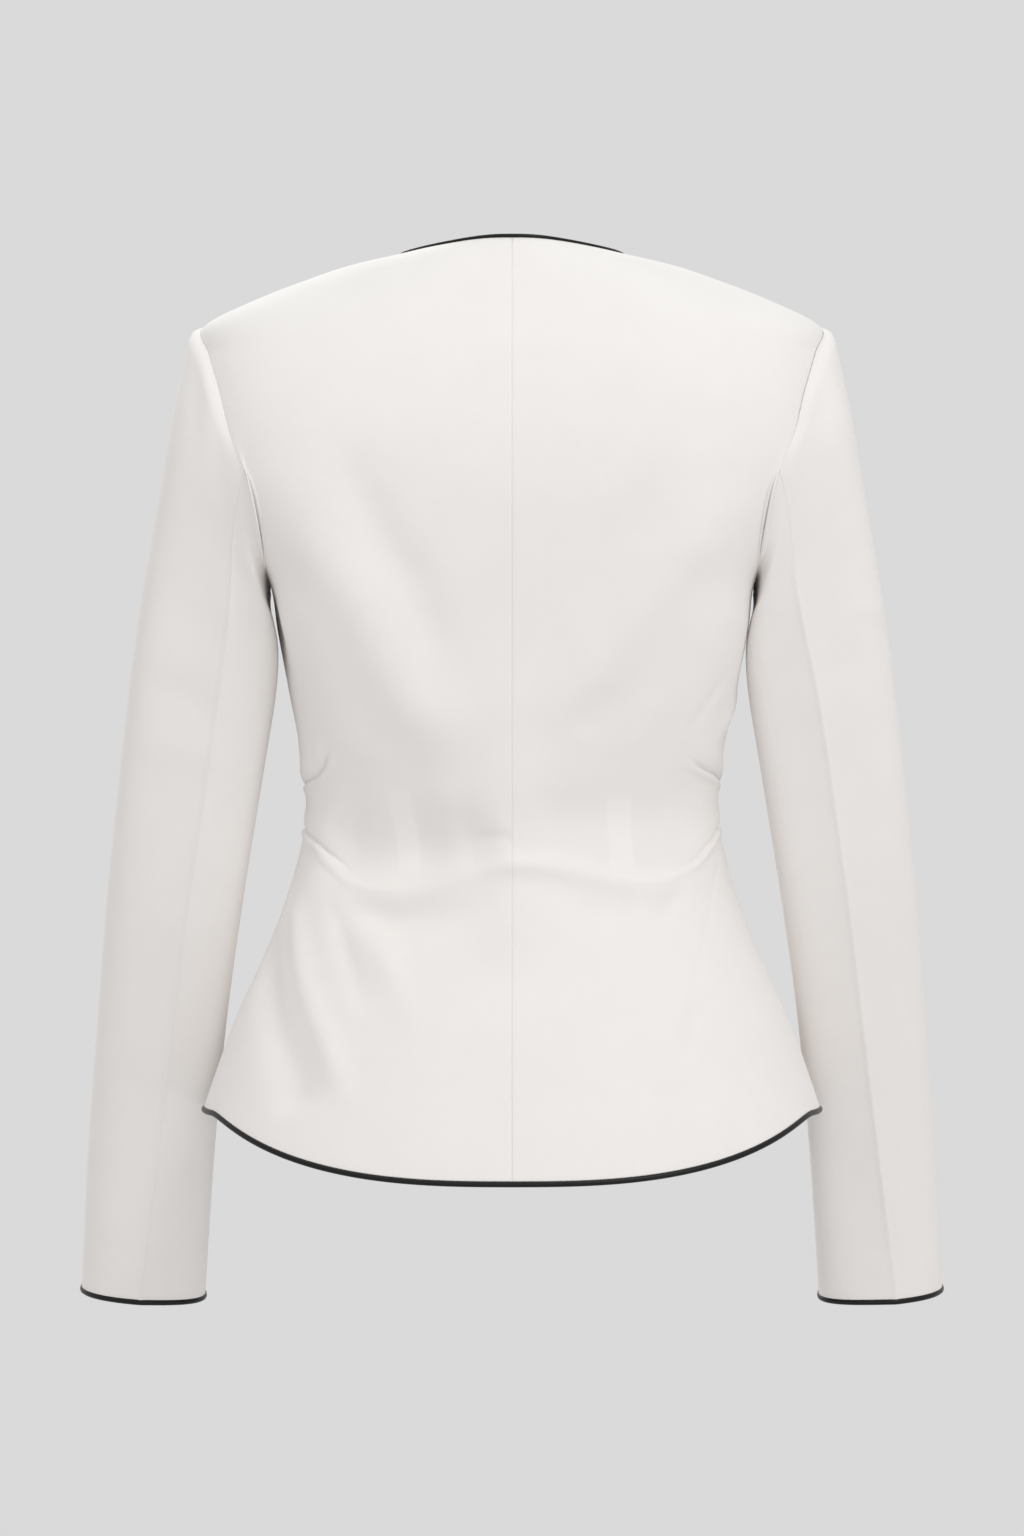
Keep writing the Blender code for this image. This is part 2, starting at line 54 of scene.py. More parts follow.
# Ovals of the body from below the hem to above the neck. A power of 2 is round, and a higher one squarer.
BodySection = namedtuple("BodySection", "height half_width back_depth front_depth back_power front_power")
BODY = np.array((
    BodySection(-0.610, 0.2195, 0.1640, 0.1580, 2.4, 2.4),
    BodySection(-0.557, 0.2008, 0.1490, 0.1440, 2.4, 2.4),
    BodySection(-0.500, 0.1805, 0.1310, 0.1290, 2.4, 2.4),
    BodySection(-0.440, 0.1540, 0.1088, 0.1120, 2.4, 2.4),
    BodySection(-0.400, 0.1405, 0.0945, 0.1025, 2.4, 2.4),
    BodySection(-0.372, 0.1345, 0.0928, 0.0990, 2.45, 2.4),
    BodySection(-0.345, 0.1341, 0.0970, 0.1010, 2.6, 2.4),
    BodySection(-0.315, 0.1385, 0.1015, 0.1080, 3.2, 2.4),
    BodySection(-0.284, 0.1448, 0.1058, 0.1170, 3.8, 2.4),
    BodySection(-0.245, 0.1522, 0.1112, 0.1265, 4.3, 2.4),
    BodySection(-0.215, 0.1565, 0.1142, 0.1290, 4.4, 2.4),
    BodySection(-0.190, 0.1690, 0.1160, 0.1270, 4.4, 2.4),
    BodySection(-0.160, 0.1850, 0.1168, 0.1205, 4.2, 2.4),
    BodySection(-0.131, 0.1955, 0.1145, 0.1110, 3.9, 2.4),
    BodySection(-0.096, 0.2000, 0.1070, 0.0960, 3.7, 2.4),
    BodySection(-0.070, 0.2010, 0.0980, 0.0835, 3.4, 2.4),
    BodySection(-0.049, 0.1985, 0.0885, 0.0710, 3.0, 2.4),
    BodySection(-0.034, 0.1700, 0.0810, 0.0610, 2.7, 2.4),
    BodySection(-0.021, 0.1380, 0.0745, 0.0520, 2.5, 2.4),
    BodySection(-0.010, 0.1050, 0.0685, 0.0440, 2.4, 2.4),
    BodySection(-0.003, 0.0735, 0.0645, 0.0385, 2.4, 2.4),
    BodySection(0.008, 0.0250, 0.0580, 0.0310, 2.4, 2.4),
))
FACING = {"back": -1.0, "front": 1.0}

HEM_SIDE = -0.5535
HEM_CENTRE = {"back": -0.5904, "front": -0.570}
HEM_LEVEL_SHARE = 0.80
HEM_CURVE_TOP = -0.430
HEM_FLATNESS, HEM_RUN_OUT, HEM_FADE = 2.8, 1.7, 1.5
WAIST_BAND = (-0.430, -0.315)
UNDERARM = -0.215
SHOULDER_POINT = -0.049

# Angle down the armhole from the shoulder point, and how deep it is cut into the back and the front there.
ArmholeCut = namedtuple("ArmholeCut", "angle back front")
ARMHOLE = np.array((
    ArmholeCut(0, 0.0760, 0.0464),
    ArmholeCut(46, 0.0783, 0.0495),
    ArmholeCut(67, 0.0810, 0.0522),
    ArmholeCut(86, 0.0847, 0.0545),
    ArmholeCut(104, 0.0960, 0.0563),
    ArmholeCut(134, 0.1170, 0.0577),
    ArmholeCut(150, 0.1380, 0.0580),
    ArmholeCut(180, 0.1800, 0.0580),
))
NECK_POINT = -0.003
NECK_CENTRE = {"back": 0.0033, "front": -0.170}
NECK_ROUNDNESS, NECK_DROP = 1.2, 2.6
V_CURVE = 1.1
NECK_COLUMNS, COLUMNS, UPPER_ROWS = 5, 13, 10
SIDE_CROWDING = 0.25
SLEEVE_SEAM_SHARE = 0.45

# A fold runs along a path and fades out over a share of it at each end. Its profile is a set of swells or
# dips: how far above the path, how high, how wide.
Fold = namedtuple("Fold", "fades profile path")

# Path points: distance round from the centre back (the wearer's right is positive), and height.
BACK_FOLDS = (
    # roll below the waist: thin-crested at the sides, broad over the centre seam
    Fold((0.15, 0.55), ((0, 0.0010, 0.0026),),
         ((-0.144, -0.388), (-0.126, -0.398), (-0.112, -0.406), (-0.098, -0.410), (-0.082, -0.411),
          (-0.068, -0.409), (-0.052, -0.404), (-0.032, -0.398))),
    Fold((0.15, 0.50), ((0, 0.0009, 0.0026),),
         ((0.150, -0.378), (0.140, -0.386), (0.120, -0.399), (0.102, -0.406), (0.082, -0.408),
          (0.063, -0.405), (0.045, -0.400))),
    Fold((0.2, 0.2), ((0, 0.0030, 0.0080),),
         ((-0.135, -0.395), (-0.110, -0.409), (-0.084, -0.413), (-0.058, -0.410), (-0.033, -0.403),
          (-0.007, -0.398), (0.018, -0.398), (0.043, -0.402), (0.069, -0.408), (0.089, -0.411),
          (0.120, -0.406), (0.139, -0.393))),
    Fold((0.3, 0.6), ((0, -0.0085, 0.012),),
         ((-0.122, -0.421), (-0.085, -0.430), (-0.055, -0.429), (-0.025, -0.423), (0.005, -0.416))),
    Fold((0.3, 0.3), ((0, -0.0015, 0.010),), ((0.031, -0.422), (0.056, -0.427), (0.082, -0.426))),
    # hollow over the roll, dimpled at the centre seam
    Fold((0.2, 0.2), ((-0.004, -0.0085, 0.022),),
         ((-0.135, -0.375), (-0.111, -0.387), (-0.085, -0.391), (-0.052, -0.386), (-0.026, -0.381),
          (-0.002, -0.376))),
    Fold((0.3, 0.3), ((0, -0.0042, 0.030),),
         ((-0.128, -0.368), (-0.100, -0.375), (-0.070, -0.377), (-0.035, -0.373))),
    Fold((0.2, 0.2), ((0.004, -0.0024, 0.018),),
         ((0.005, -0.373), (0.021, -0.370), (0.050, -0.369), (0.083, -0.369), (0.132, -0.365))),
    Fold((0.6, 0.15), ((0, -0.0014, 0.005),), ((-0.030, -0.381), (-0.010, -0.379), (0.001, -0.378))),
    # drags from the armholes to the waist
    Fold((0.5, 0.2), ((0, 0.0074, 0.021),),
         ((-0.150, -0.122), (-0.136, -0.153), (-0.124, -0.193), (-0.094, -0.236), (-0.078, -0.270),
          (-0.056, -0.302), (-0.024, -0.332))),
    Fold((0.35, 0.34), ((0, 0.0065, 0.038),),
         ((-0.004, -0.235), (-0.008, -0.300), (-0.008, -0.380), (0.0, -0.470))),
    Fold((0.5, 0.35), ((0, 0.0030, 0.030),), ((0.0, -0.300), (0.0, -0.340), (0.0, -0.390), (0.0, -0.470))),
    Fold((0.3, 0.3), ((0, -0.0034, 0.014),),
         ((-0.109, -0.119), (-0.099, -0.148), (-0.085, -0.185), (-0.062, -0.220), (-0.051, -0.252),
          (-0.034, -0.282))),
    Fold((0.3, 0.35), ((0, -0.0040, 0.022),),
         ((-0.215, -0.219), (-0.178, -0.259), (-0.149, -0.295), (-0.120, -0.327))),
    Fold((0.3, 0.3), ((0, 0.0042, 0.018),),
         ((0.152, -0.156), (0.121, -0.188), (0.088, -0.228), (0.062, -0.266), (0.031, -0.297),
          (0.009, -0.316))),
    Fold((0.35, 0.35), ((0, -0.0020, 0.015),),
         ((0.093, -0.129), (0.081, -0.167), (0.062, -0.198), (0.052, -0.230), (0.037, -0.261))),
    Fold((0.35, 0.35), ((0, 0.0014, 0.010),),
         ((0.097, -0.279), (0.089, -0.295), (0.076, -0.320), (0.064, -0.336))),
    Fold((0.35, 0.35), ((0, -0.0012, 0.010),), ((0.066, -0.280), (0.059, -0.292), (0.040, -0.317))),
    # flutes of the peplum
    Fold((0.2, 0.25), ((0, 0.0032, 0.009),),
         ((-0.160, -0.413), (-0.146, -0.451), (-0.138, -0.472), (-0.129, -0.490), (-0.119, -0.509),
          (-0.111, -0.529), (-0.105, -0.552))),
    Fold((0.35, 0.12), ((0, -0.0055, 0.016),),
         ((-0.196, -0.431), (-0.182, -0.464), (-0.170, -0.485), (-0.157, -0.506), (-0.146, -0.524),
          (-0.138, -0.556))),
    Fold((0.2, 0.5), ((0, -0.0024, 0.007),),
         ((-0.125, -0.415), (-0.111, -0.444), (-0.104, -0.462), (-0.095, -0.481), (-0.083, -0.499))),
    Fold((0.25, 0.5), ((0, 0.0026, 0.010),),
         ((-0.109, -0.419), (-0.089, -0.443), (-0.078, -0.463), (-0.067, -0.482), (-0.051, -0.505))),
    Fold((0.3, 0.4), ((0, -0.0012, 0.007),), ((0.124, -0.403), (0.103, -0.420), (0.093, -0.445))),
    Fold((0.3, 0.4), ((0, 0.0006, 0.0035),), ((0.074, -0.430), (0.085, -0.453), (0.092, -0.476))),
    Fold((0.3, 0.4), ((0, -0.0005, 0.0030),), ((0.085, -0.433), (0.090, -0.456), (0.094, -0.478))),
    Fold((0.1, 0.4), ((0, -0.0005, 0.0016),),
         ((0.161, -0.385), (0.145, -0.405), (0.133, -0.432), (0.122, -0.463), (0.115, -0.490),
          (0.113, -0.524))),
    Fold((0.3, 0.4), ((0, -0.0012, 0.006),), ((0.118, -0.481), (0.114, -0.502), (0.113, -0.524))),
    # inner edge of the hem's turning
    Fold((0.1, 0.1), ((0, -0.0002, 0.0013),),
         ((-0.191, -0.535), (-0.148, -0.535), (-0.079, -0.537), (-0.039, -0.541), (-0.002, -0.540),
          (0.044, -0.541), (0.104, -0.541), (0.187, -0.539))),
)

# Path points: distance round from the side seam (the back is positive), and height.
# In front of each hip the peplum is pressed in a little, so that the sleeve hangs clear of it.
HIP_PRESS = Fold((0.35, 0.05), ((0, -0.0080, 0.030),),
                 ((-0.050, -0.490), (-0.050, -0.520), (-0.050, -0.545), (-0.050, -0.570)))
SIDE_FOLDS = {
    "left": (
        Fold((0.3, 0.12), ((0, -0.0018, 0.0010), (-0.0028, 0.0012, 0.0028), (0.007, 0.0022, 0.007)),
             ((-0.070, -0.331), (-0.045, -0.340), (-0.020, -0.345), (0.000, -0.346), (0.020, -0.345),
              (0.038, -0.343), (0.051, -0.341), (0.060, -0.338), (0.070, -0.332), (0.077, -0.325),
              (0.082, -0.318))),
        Fold((0.3, 0.15), ((0, -0.0020, 0.0011), (-0.0030, 0.0014, 0.0030), (0.006, 0.0008, 0.006)),
             ((-0.110, -0.396), (-0.075, -0.392), (-0.040, -0.382), (-0.015, -0.375), (0.000, -0.3735),
              (0.015, -0.374), (0.037, -0.379), (0.048, -0.382), (0.064, -0.391), (0.075, -0.397),
              (0.085, -0.402))),
        Fold((0.4, 0.4), ((0, 0.0012, 0.009),),
             ((-0.010, -0.328), (0.024, -0.328), (0.054, -0.325), (0.070, -0.316))),
        HIP_PRESS,
    ),
    "right": (
        Fold((0.3, 0.15), ((0, -0.0017, 0.0010), (-0.0028, 0.0012, 0.0028), (0.007, 0.0018, 0.007)),
             ((-0.075, -0.332), (-0.045, -0.339), (-0.020, -0.344), (0.000, -0.3445), (0.017, -0.343),
              (0.042, -0.339), (0.055, -0.337), (0.067, -0.334), (0.077, -0.330), (0.085, -0.325))),
        Fold((0.3, 0.15), ((0, -0.0018, 0.0011), (-0.0030, 0.0013, 0.0030), (0.006, 0.0008, 0.006)),
             ((-0.115, -0.399), (-0.080, -0.394), (-0.040, -0.381), (-0.015, -0.374), (0.000, -0.3725),
              (0.028, -0.375), (0.042, -0.381), (0.054, -0.387), (0.066, -0.394), (0.085, -0.400))),
        Fold((0.4, 0.4), ((0, 0.0022, 0.010),),
             ((0.068, -0.330), (0.058, -0.314), (0.040, -0.298), (0.000, -0.294))),
        Fold((0.35, 0.4), ((0, -0.0011, 0.005),),
             ((0.090, -0.319), (0.087, -0.301), (0.081, -0.284), (0.074, -0.269))),
        Fold((0.4, 0.4), ((0, 0.0016, 0.007),), ((0.030, -0.296), (0.000, -0.296), (-0.030, -0.298))),
        HIP_PRESS,
    ),
}

# Two upright bands at the back waist are painted paler into the cloth's colour: painted highlight, with no
# raised cloth modelled under it.
PaintedHighlightBand = namedtuple("PaintedHighlightBand", "inner outer bottom top edge")
HIGHLIGHT_BAND_END_SOFTNESS = 5
BACK_HIGHLIGHT_BANDS = (
    PaintedHighlightBand(-0.082, -0.066, -0.400, -0.349, 0.0016),
    PaintedHighlightBand(0.062, 0.078, -0.398, -0.352, 0.0016),
)


def smooth(knots, values, at):
    """Smooth curves through the rows of values at the knots, read at many places."""
    knots, values, at = np.asarray(knots, float), np.asarray(values, float), np.asarray(at, float)
    slopes = np.gradient(values, knots, axis=0)
    k = np.clip(np.searchsorted(knots, at) - 1, 0, len(knots) - 2)
    span = (knots[k + 1] - knots[k])[..., None]
    s = (at - knots[k])[..., None] / span
    rise = s * s * (3 - 2 * s)
    return (
        values[k] * (1 - rise)
        + values[k + 1] * rise
        + span * (slopes[k] * s * (1 - s) ** 2 - slopes[k + 1] * s * s * (1 - s))
    )


def ease(x):
    x = np.clip(x, 0, 1)
    return x * x * (3 - 2 * x)


def unit(vectors):
    return vectors / np.linalg.norm(vectors, axis=-1, keepdims=True)


def square(across, away, power):
    """Moves points of a round out onto a squarer oval: a power of 2 leaves them where they are."""
    out = (np.abs(across) ** power + np.abs(away) ** power) ** (-1 / power)
    return across * out, away * out


def body_sizes(face, height):
    """Half width, depth and squareness of the body's oval at each height."""
    sizes = BodySection(*np.moveaxis(smooth(BODY[:, 0], BODY, height), -1, 0))
    if face == "back":
        return sizes.half_width, sizes.back_depth, sizes.back_power
    return sizes.half_width, sizes.front_depth, sizes.front_power


def oval_point(face, height, angle):
    """Points on the body's ovals, from the centre line (0) to the side seam (90 degrees)."""
    half_width, depth, power = body_sizes(face, height)
    across, away = square(np.sin(angle), np.maximum(np.cos(angle), 0), power)
    return np.stack(np.broadcast_arrays(half_width * across, depth * away * FACING[face], height), axis=-1)


OVAL_ANGLES = np.linspace(0, math.pi / 2, 241)


def oval_lengths(face, height):
    """Distance round the oval from the centre line, at each of the oval's angles."""
    line = oval_point(face, np.asarray(height)[..., None], OVAL_ANGLES)
    steps = np.linalg.norm(np.diff(line, axis=-2), axis=-1)
    return np.concatenate([np.zeros(steps.shape[:-1] + (1,)), np.cumsum(steps, axis=-1)], axis=-1)


def oval_share_row(face, height, share):
    """A row of points, each at its own height and share of the way round from the centre to the side seam."""
    lengths = oval_lengths(face, height)
    angles = [np.interp(s * line[-1], line, OVAL_ANGLES) for s, line in zip(share, lengths)]
    return oval_point(face, height, np.array(angles))


def round_body(face, points):
    """Each point's distance round the body from the centre line, and from the side seam."""
    from_centre, from_side = np.empty(points.shape[:2]), np.empty(points.shape[:2])
    for row, line in enumerate(points):
        half_width, depth, _ = body_sizes(face, line[:, 2])
        turn = np.arctan2(np.maximum(line[:, 0], 0) / half_width, np.abs(line[:, 1]) / depth)
        for column, lengths in enumerate(oval_lengths(face, line[:, 2])):
            from_centre[row, column] = np.interp(turn[column], OVAL_ANGLES, lengths)
            from_side[row, column] = lengths[-1] - from_centre[row, column]
    return from_centre, from_side


SMALL_RISE = 1e-5


def body_slope(face, points):
    """How far points are off the body form (0 on it), and the slope of that."""
    x, y, z = np.abs(points[..., 0]), np.abs(points[..., 1]), points[..., 2]
    half_width, depth, power = body_sizes(face, z)
    half_width_up, depth_up, power_up = body_sizes(face, z + SMALL_RISE)
    level = (x / half_width) ** power + (y / depth) ** power - 1
    level_up = (x / half_width_up) ** power_up + (y / depth_up) ** power_up - 1
    slope = np.stack([
        power * (x / half_width) ** (power - 1) / half_width,
        power * (y / depth) ** (power - 1) / depth * FACING[face],
        (level_up - level) / SMALL_RISE,
    ], axis=-1)
    return level, slope


LANDING_ROUNDS = 4


def on_body(face, points):
    """Moves points that are near the body form onto it."""
    for _ in range(LANDING_ROUNDS):
        level, slope = body_slope(face, points)
        points = points - (level / (slope * slope).sum(axis=-1))[..., None] * slope
    return points


def armhole_point(angle):
    """The right armhole seam: 0 at the shoulder point, 180 degrees at the underarm, the back first."""
    angle = np.mod(angle, 2 * math.pi)
    middle = (SHOULDER_POINT + UNDERARM) / 2
    height = middle + (SHOULDER_POINT - middle) * np.cos(angle)
    down = np.minimum(angle, 2 * math.pi - angle)
    cuts = ArmholeCut(*np.moveaxis(smooth(np.radians(ARMHOLE[:, 0]), ARMHOLE, down), -1, 0))
    halves = []
    for face, cut in (("back", cuts.back), ("front", cuts.front)):
        half_width, depth, power = body_sizes(face, height)
        away = cut * np.sin(down)
        across = half_width * (1 - (away / depth) ** power) ** (1 / power)
        halves.append(np.stack([across, away * FACING[face], height], axis=-1))
    return np.where((angle <= math.pi)[..., None], *halves)


LOW_BACK_START, LOW_BACK_END = math.radians(72), math.radians(176)
LOW_BACK_RISE, LOW_BACK_FALL = math.radians(48), math.radians(50)
LIP, LIP_WIDTH = 0.0040, 0.014
LIP_LAP, LIP_TUCK = 0.0030, 0.0022


def low_back(angle):
    """1 low on the back of the armhole, where the body laps over the sleeve, and 0 far from there."""
    angle = np.mod(angle, 2 * math.pi)
    return ease((angle - LOW_BACK_START) / LOW_BACK_RISE) * ease((LOW_BACK_END - angle) / LOW_BACK_FALL)


def armhole_seam(angle):
    """Where the right sleeve starts: on the armhole, or behind the body's edge where that laps over it."""
    points = armhole_point(angle)
    outward = unit(body_slope("back", points)[1])
    inward = unit(outward * outward[..., :1] - np.array((1.0, 0.0, 0.0)))
    return points + (inward * LIP_LAP - np.array((0.0, LIP_TUCK, 0.0))) * low_back(angle)[..., None]


def armhole_turn(face, row):
    """Angle on the armhole where a row of the upper panel ends."""
    share = np.interp(row, (0, UPPER_ROWS / 2, UPPER_ROWS), (0, SLEEVE_SEAM_SHARE, 1))
    return math.pi * (1 + FACING[face] * share)


SHOULDER_HALVINGS = 40


def top_edge(face, column):
    """Top edge of a panel: the neckline, then the shoulder seam."""
    share = np.clip(column / NECK_COLUMNS, 0, 1)
    turn = share * math.pi / 2
    if face == "back":
        on_oval = np.arctan2(np.sin(turn) ** (1 / NECK_ROUNDNESS), np.cos(turn) ** (1 / NECK_ROUNDNESS))
        height = NECK_CENTRE[face] + (NECK_POINT - NECK_CENTRE[face]) * np.sin(turn) ** NECK_DROP
        neckline = oval_point(face, height, on_oval)
    else:
        height = NECK_CENTRE[face] + (NECK_POINT - NECK_CENTRE[face]) * share
        half_width, depth, power = body_sizes(face, height)
        across = body_sizes(face, NECK_POINT)[0] * np.sin(turn) ** V_CURVE
        away = depth * np.maximum(1 - (across / half_width) ** power, 0) ** (1 / power)
        neckline = np.stack([across, away, height], axis=-1)
    share = np.clip((column - NECK_COLUMNS) / (COLUMNS - NECK_COLUMNS), 0, 1)
    neck_width, shoulder_width = body_sizes(face, np.array((NECK_POINT, SHOULDER_POINT)))[0]
    across = neck_width + (shoulder_width - neck_width) * share
    low, high = np.full(share.shape, SHOULDER_POINT), np.full(share.shape, NECK_POINT)
    for _ in range(SHOULDER_HALVINGS):
        middle = (low + high) / 2
        wide = body_sizes(face, middle)[0] > across
        low, high = np.where(wide, middle, low), np.where(wide, high, middle)
    shoulder = np.stack([across, np.zeros(share.shape), middle], axis=-1)
    return np.where((column <= NECK_COLUMNS)[..., None], neckline, shoulder)


def column_share(column):
    """Share of the way round from the centre line, with the columns closer together towards the side."""
    share = column / COLUMNS
    return share + SIDE_CROWDING * share * (1 - share)


def lower_row(face, side_height, columns):
    """A row below the underarm. The hem's curve fades out on the way up to the waist."""
    left = np.clip((HEM_CURVE_TOP - side_height) / (HEM_CURVE_TOP - HEM_SIDE), 0, 1)
    share = column_share(columns)
    level = np.maximum(1 - (share / HEM_LEVEL_SHARE) ** HEM_FLATNESS, 0) ** HEM_RUN_OUT
    drop = (HEM_CENTRE[face] - HEM_SIDE) * left**HEM_FADE * level
    return oval_share_row(face, side_height + drop, share)


EVENING_ROUNDS = 12


def upper_patch(face):
    """A coarse net from the underarm to the neckline and shoulder seam, evenly spaced on the form."""
    rows, columns = np.arange(UPPER_ROWS + 1.0), np.arange(COLUMNS + 1.0)
    bottom, top = lower_row(face, UNDERARM, columns), top_edge(face, columns)
    centre = oval_point(face, np.linspace(bottom[0, 2], top[0, 2], UPPER_ROWS + 1), np.zeros(UPPER_ROWS + 1))
    side = armhole_point(armhole_turn(face, rows))
    u, v = column_share(columns)[None, :, None], (rows / UPPER_ROWS)[:, None, None]
    corners = (1 - u) * ((1 - v) * bottom[0] + v * top[0]) + u * ((1 - v) * bottom[-1] + v * top[-1])
    net = (1 - v) * bottom + v * top + (1 - u) * centre[:, None] + u * side[:, None] - corners
    for _ in range(EVENING_ROUNDS):
        net[1:-1, 1:-1] = on_body(face, (net[:-2, 1:-1] + net[2:, 1:-1] + net[1:-1, :-2] + net[1:-1, 2:]) / 4)
    return net


def read_net(net, rows, columns):
    """Points between those of a coarse net."""
    r = np.clip(rows.astype(int), 0, net.shape[0] - 2)
    c = np.clip(columns.astype(int), 0, net.shape[1] - 2)
    v, u = (rows - r)[:, None, None], (columns - c)[None, :, None]
    low = net[r][:, c] * (1 - u) + net[r][:, c + 1] * u
    high = net[r + 1][:, c] * (1 - u) + net[r + 1][:, c + 1] * u
    return low * (1 - v) + high * v


def upper_rows(face, rows, columns):
    """Rows of a panel above the underarm, up to its true edges."""
    net = upper_patch(face)
    top, side = top_edge(face, columns), armhole_point(armhole_turn(face, rows))
    fine = read_net(net, rows, columns)
    near_top = np.clip(rows - UPPER_ROWS + 1, 0, 1)[:, None, None]
    near_side = np.clip(columns - COLUMNS + 1, 0, 1)[None, :, None]
    fine += near_top * (top - read_net(net, np.array([float(UPPER_ROWS)]), columns))
    fine += near_side * (side[:, None] - read_net(net, rows, np.array([float(COLUMNS)])))
    fine = on_body(face, fine)
    fine[-1], fine[:, -1] = top, side
    return fine


def spaced(start, end, step):
    return np.linspace(start, end, round(abs(end - start) / step) + 1)


CENTRE_COLUMN, SIDE_COLUMN, UPPER_ROW = 0.019, 0.0115, 0.022
NET_STEP = 0.13
PEPLUM_STEP, WAIST_STEP, CHEST_STEP = 0.0036, 0.0013, 0.003


def body_grid(face):
    """Points of the right-hand panel, close together along its edges and round the tucks."""
    columns = np.concatenate([
        SEAM_STEPS / CENTRE_COLUMN,
        spaced(SEAM_STEPS[-1] / CENTRE_COLUMN, COLUMNS - SEAM_STEPS[-1] / SIDE_COLUMN, NET_STEP)[1:-1],
        (COLUMNS - SEAM_STEPS / SIDE_COLUMN)[::-1],
    ])
    columns[np.argmin(np.abs(columns - NECK_COLUMNS))] = NECK_COLUMNS
    heights = np.concatenate([
        HEM_SIDE + SEAM_STEPS[:-1],
        spaced(HEM_SIDE + SEAM_STEPS[-1], WAIST_BAND[0], PEPLUM_STEP)[:-1],
        spaced(*WAIST_BAND, WAIST_STEP)[:-1],
        spaced(WAIST_BAND[1], UNDERARM, CHEST_STEP),
    ])
    rows = np.concatenate([
        spaced(0, UPPER_ROWS - SEAM_STEPS[-1] / UPPER_ROW, NET_STEP)[1:-1],
        (UPPER_ROWS - SEAM_STEPS / UPPER_ROW)[::-1],
    ])
    lower = [lower_row(face, height, columns) for height in heights]
    return np.concatenate([lower, upper_rows(face, rows, columns)]), columns, rows


PATH_STEPS = 32


def off_path(path, across, height):
    """How far places are above a smooth path, and the share of the way along it."""
    path = np.array(path)
    lengths = np.concatenate([[0], np.cumsum(np.linalg.norm(np.diff(path, axis=0), axis=1))])
    line = smooth(lengths, path, np.linspace(0, lengths[-1], PATH_STEPS + 1))
    nearest, off, along = (np.full(across.shape, value) for value in (np.inf, 0.0, 0.0))
    for k, (start, end) in enumerate(zip(line, line[1:])):
        way = end - start
        share = np.clip(((across - start[0]) * way[0] + (height - start[1]) * way[1]) / (way @ way), 0, 1)
        dx, dz = across - start[0] - share * way[0], height - start[1] - share * way[1]
        gap = np.hypot(dx, dz)
        above = np.sign((way[0] * dz - way[1] * dx) * (way[0] if way[0] else 1))
        closer = gap < nearest
        nearest = np.where(closer, gap, nearest)
        off = np.where(closer, gap * above, off)
        along = np.where(closer, (k + share) / (len(line) - 1), along)
    return off, along


def fold_push(folds, across, height):
    """How far folds lift the cloth off its form."""
    push = np.zeros(across.shape)
    for fold in folds:
        off, along = off_path(fold.path, across, height)
        ends = ease(along / fold.fades[0]) * ease((1 - along) / fold.fades[1])
        for above, depth, width in fold.profile:
            push += ends * depth * np.exp(-(((off - above) / width) ** 2))
    return push


def painted_highlight_share(highlight_bands, across, height):
    """1 where a band of painted highlight lies on the cloth, else 0."""
    highlight_mask = np.zeros(across.shape)
    for painted_highlight in highlight_bands:
        beside = np.minimum(across - painted_highlight.inner, painted_highlight.outer - across)
        within = np.minimum(height - painted_highlight.bottom, painted_highlight.top - height) / HIGHLIGHT_BAND_END_SOFTNESS
        highlight_mask += ease(0.5 + np.minimum(beside, within) / painted_highlight.edge)
    return highlight_mask


def seam(distance, dip=SEAM_DIP, half_width=SEAM_HALF_WIDTH):
    """How far a sewn line draws the cloth in."""
    return -dip * np.exp(-((distance / half_width) ** 2))


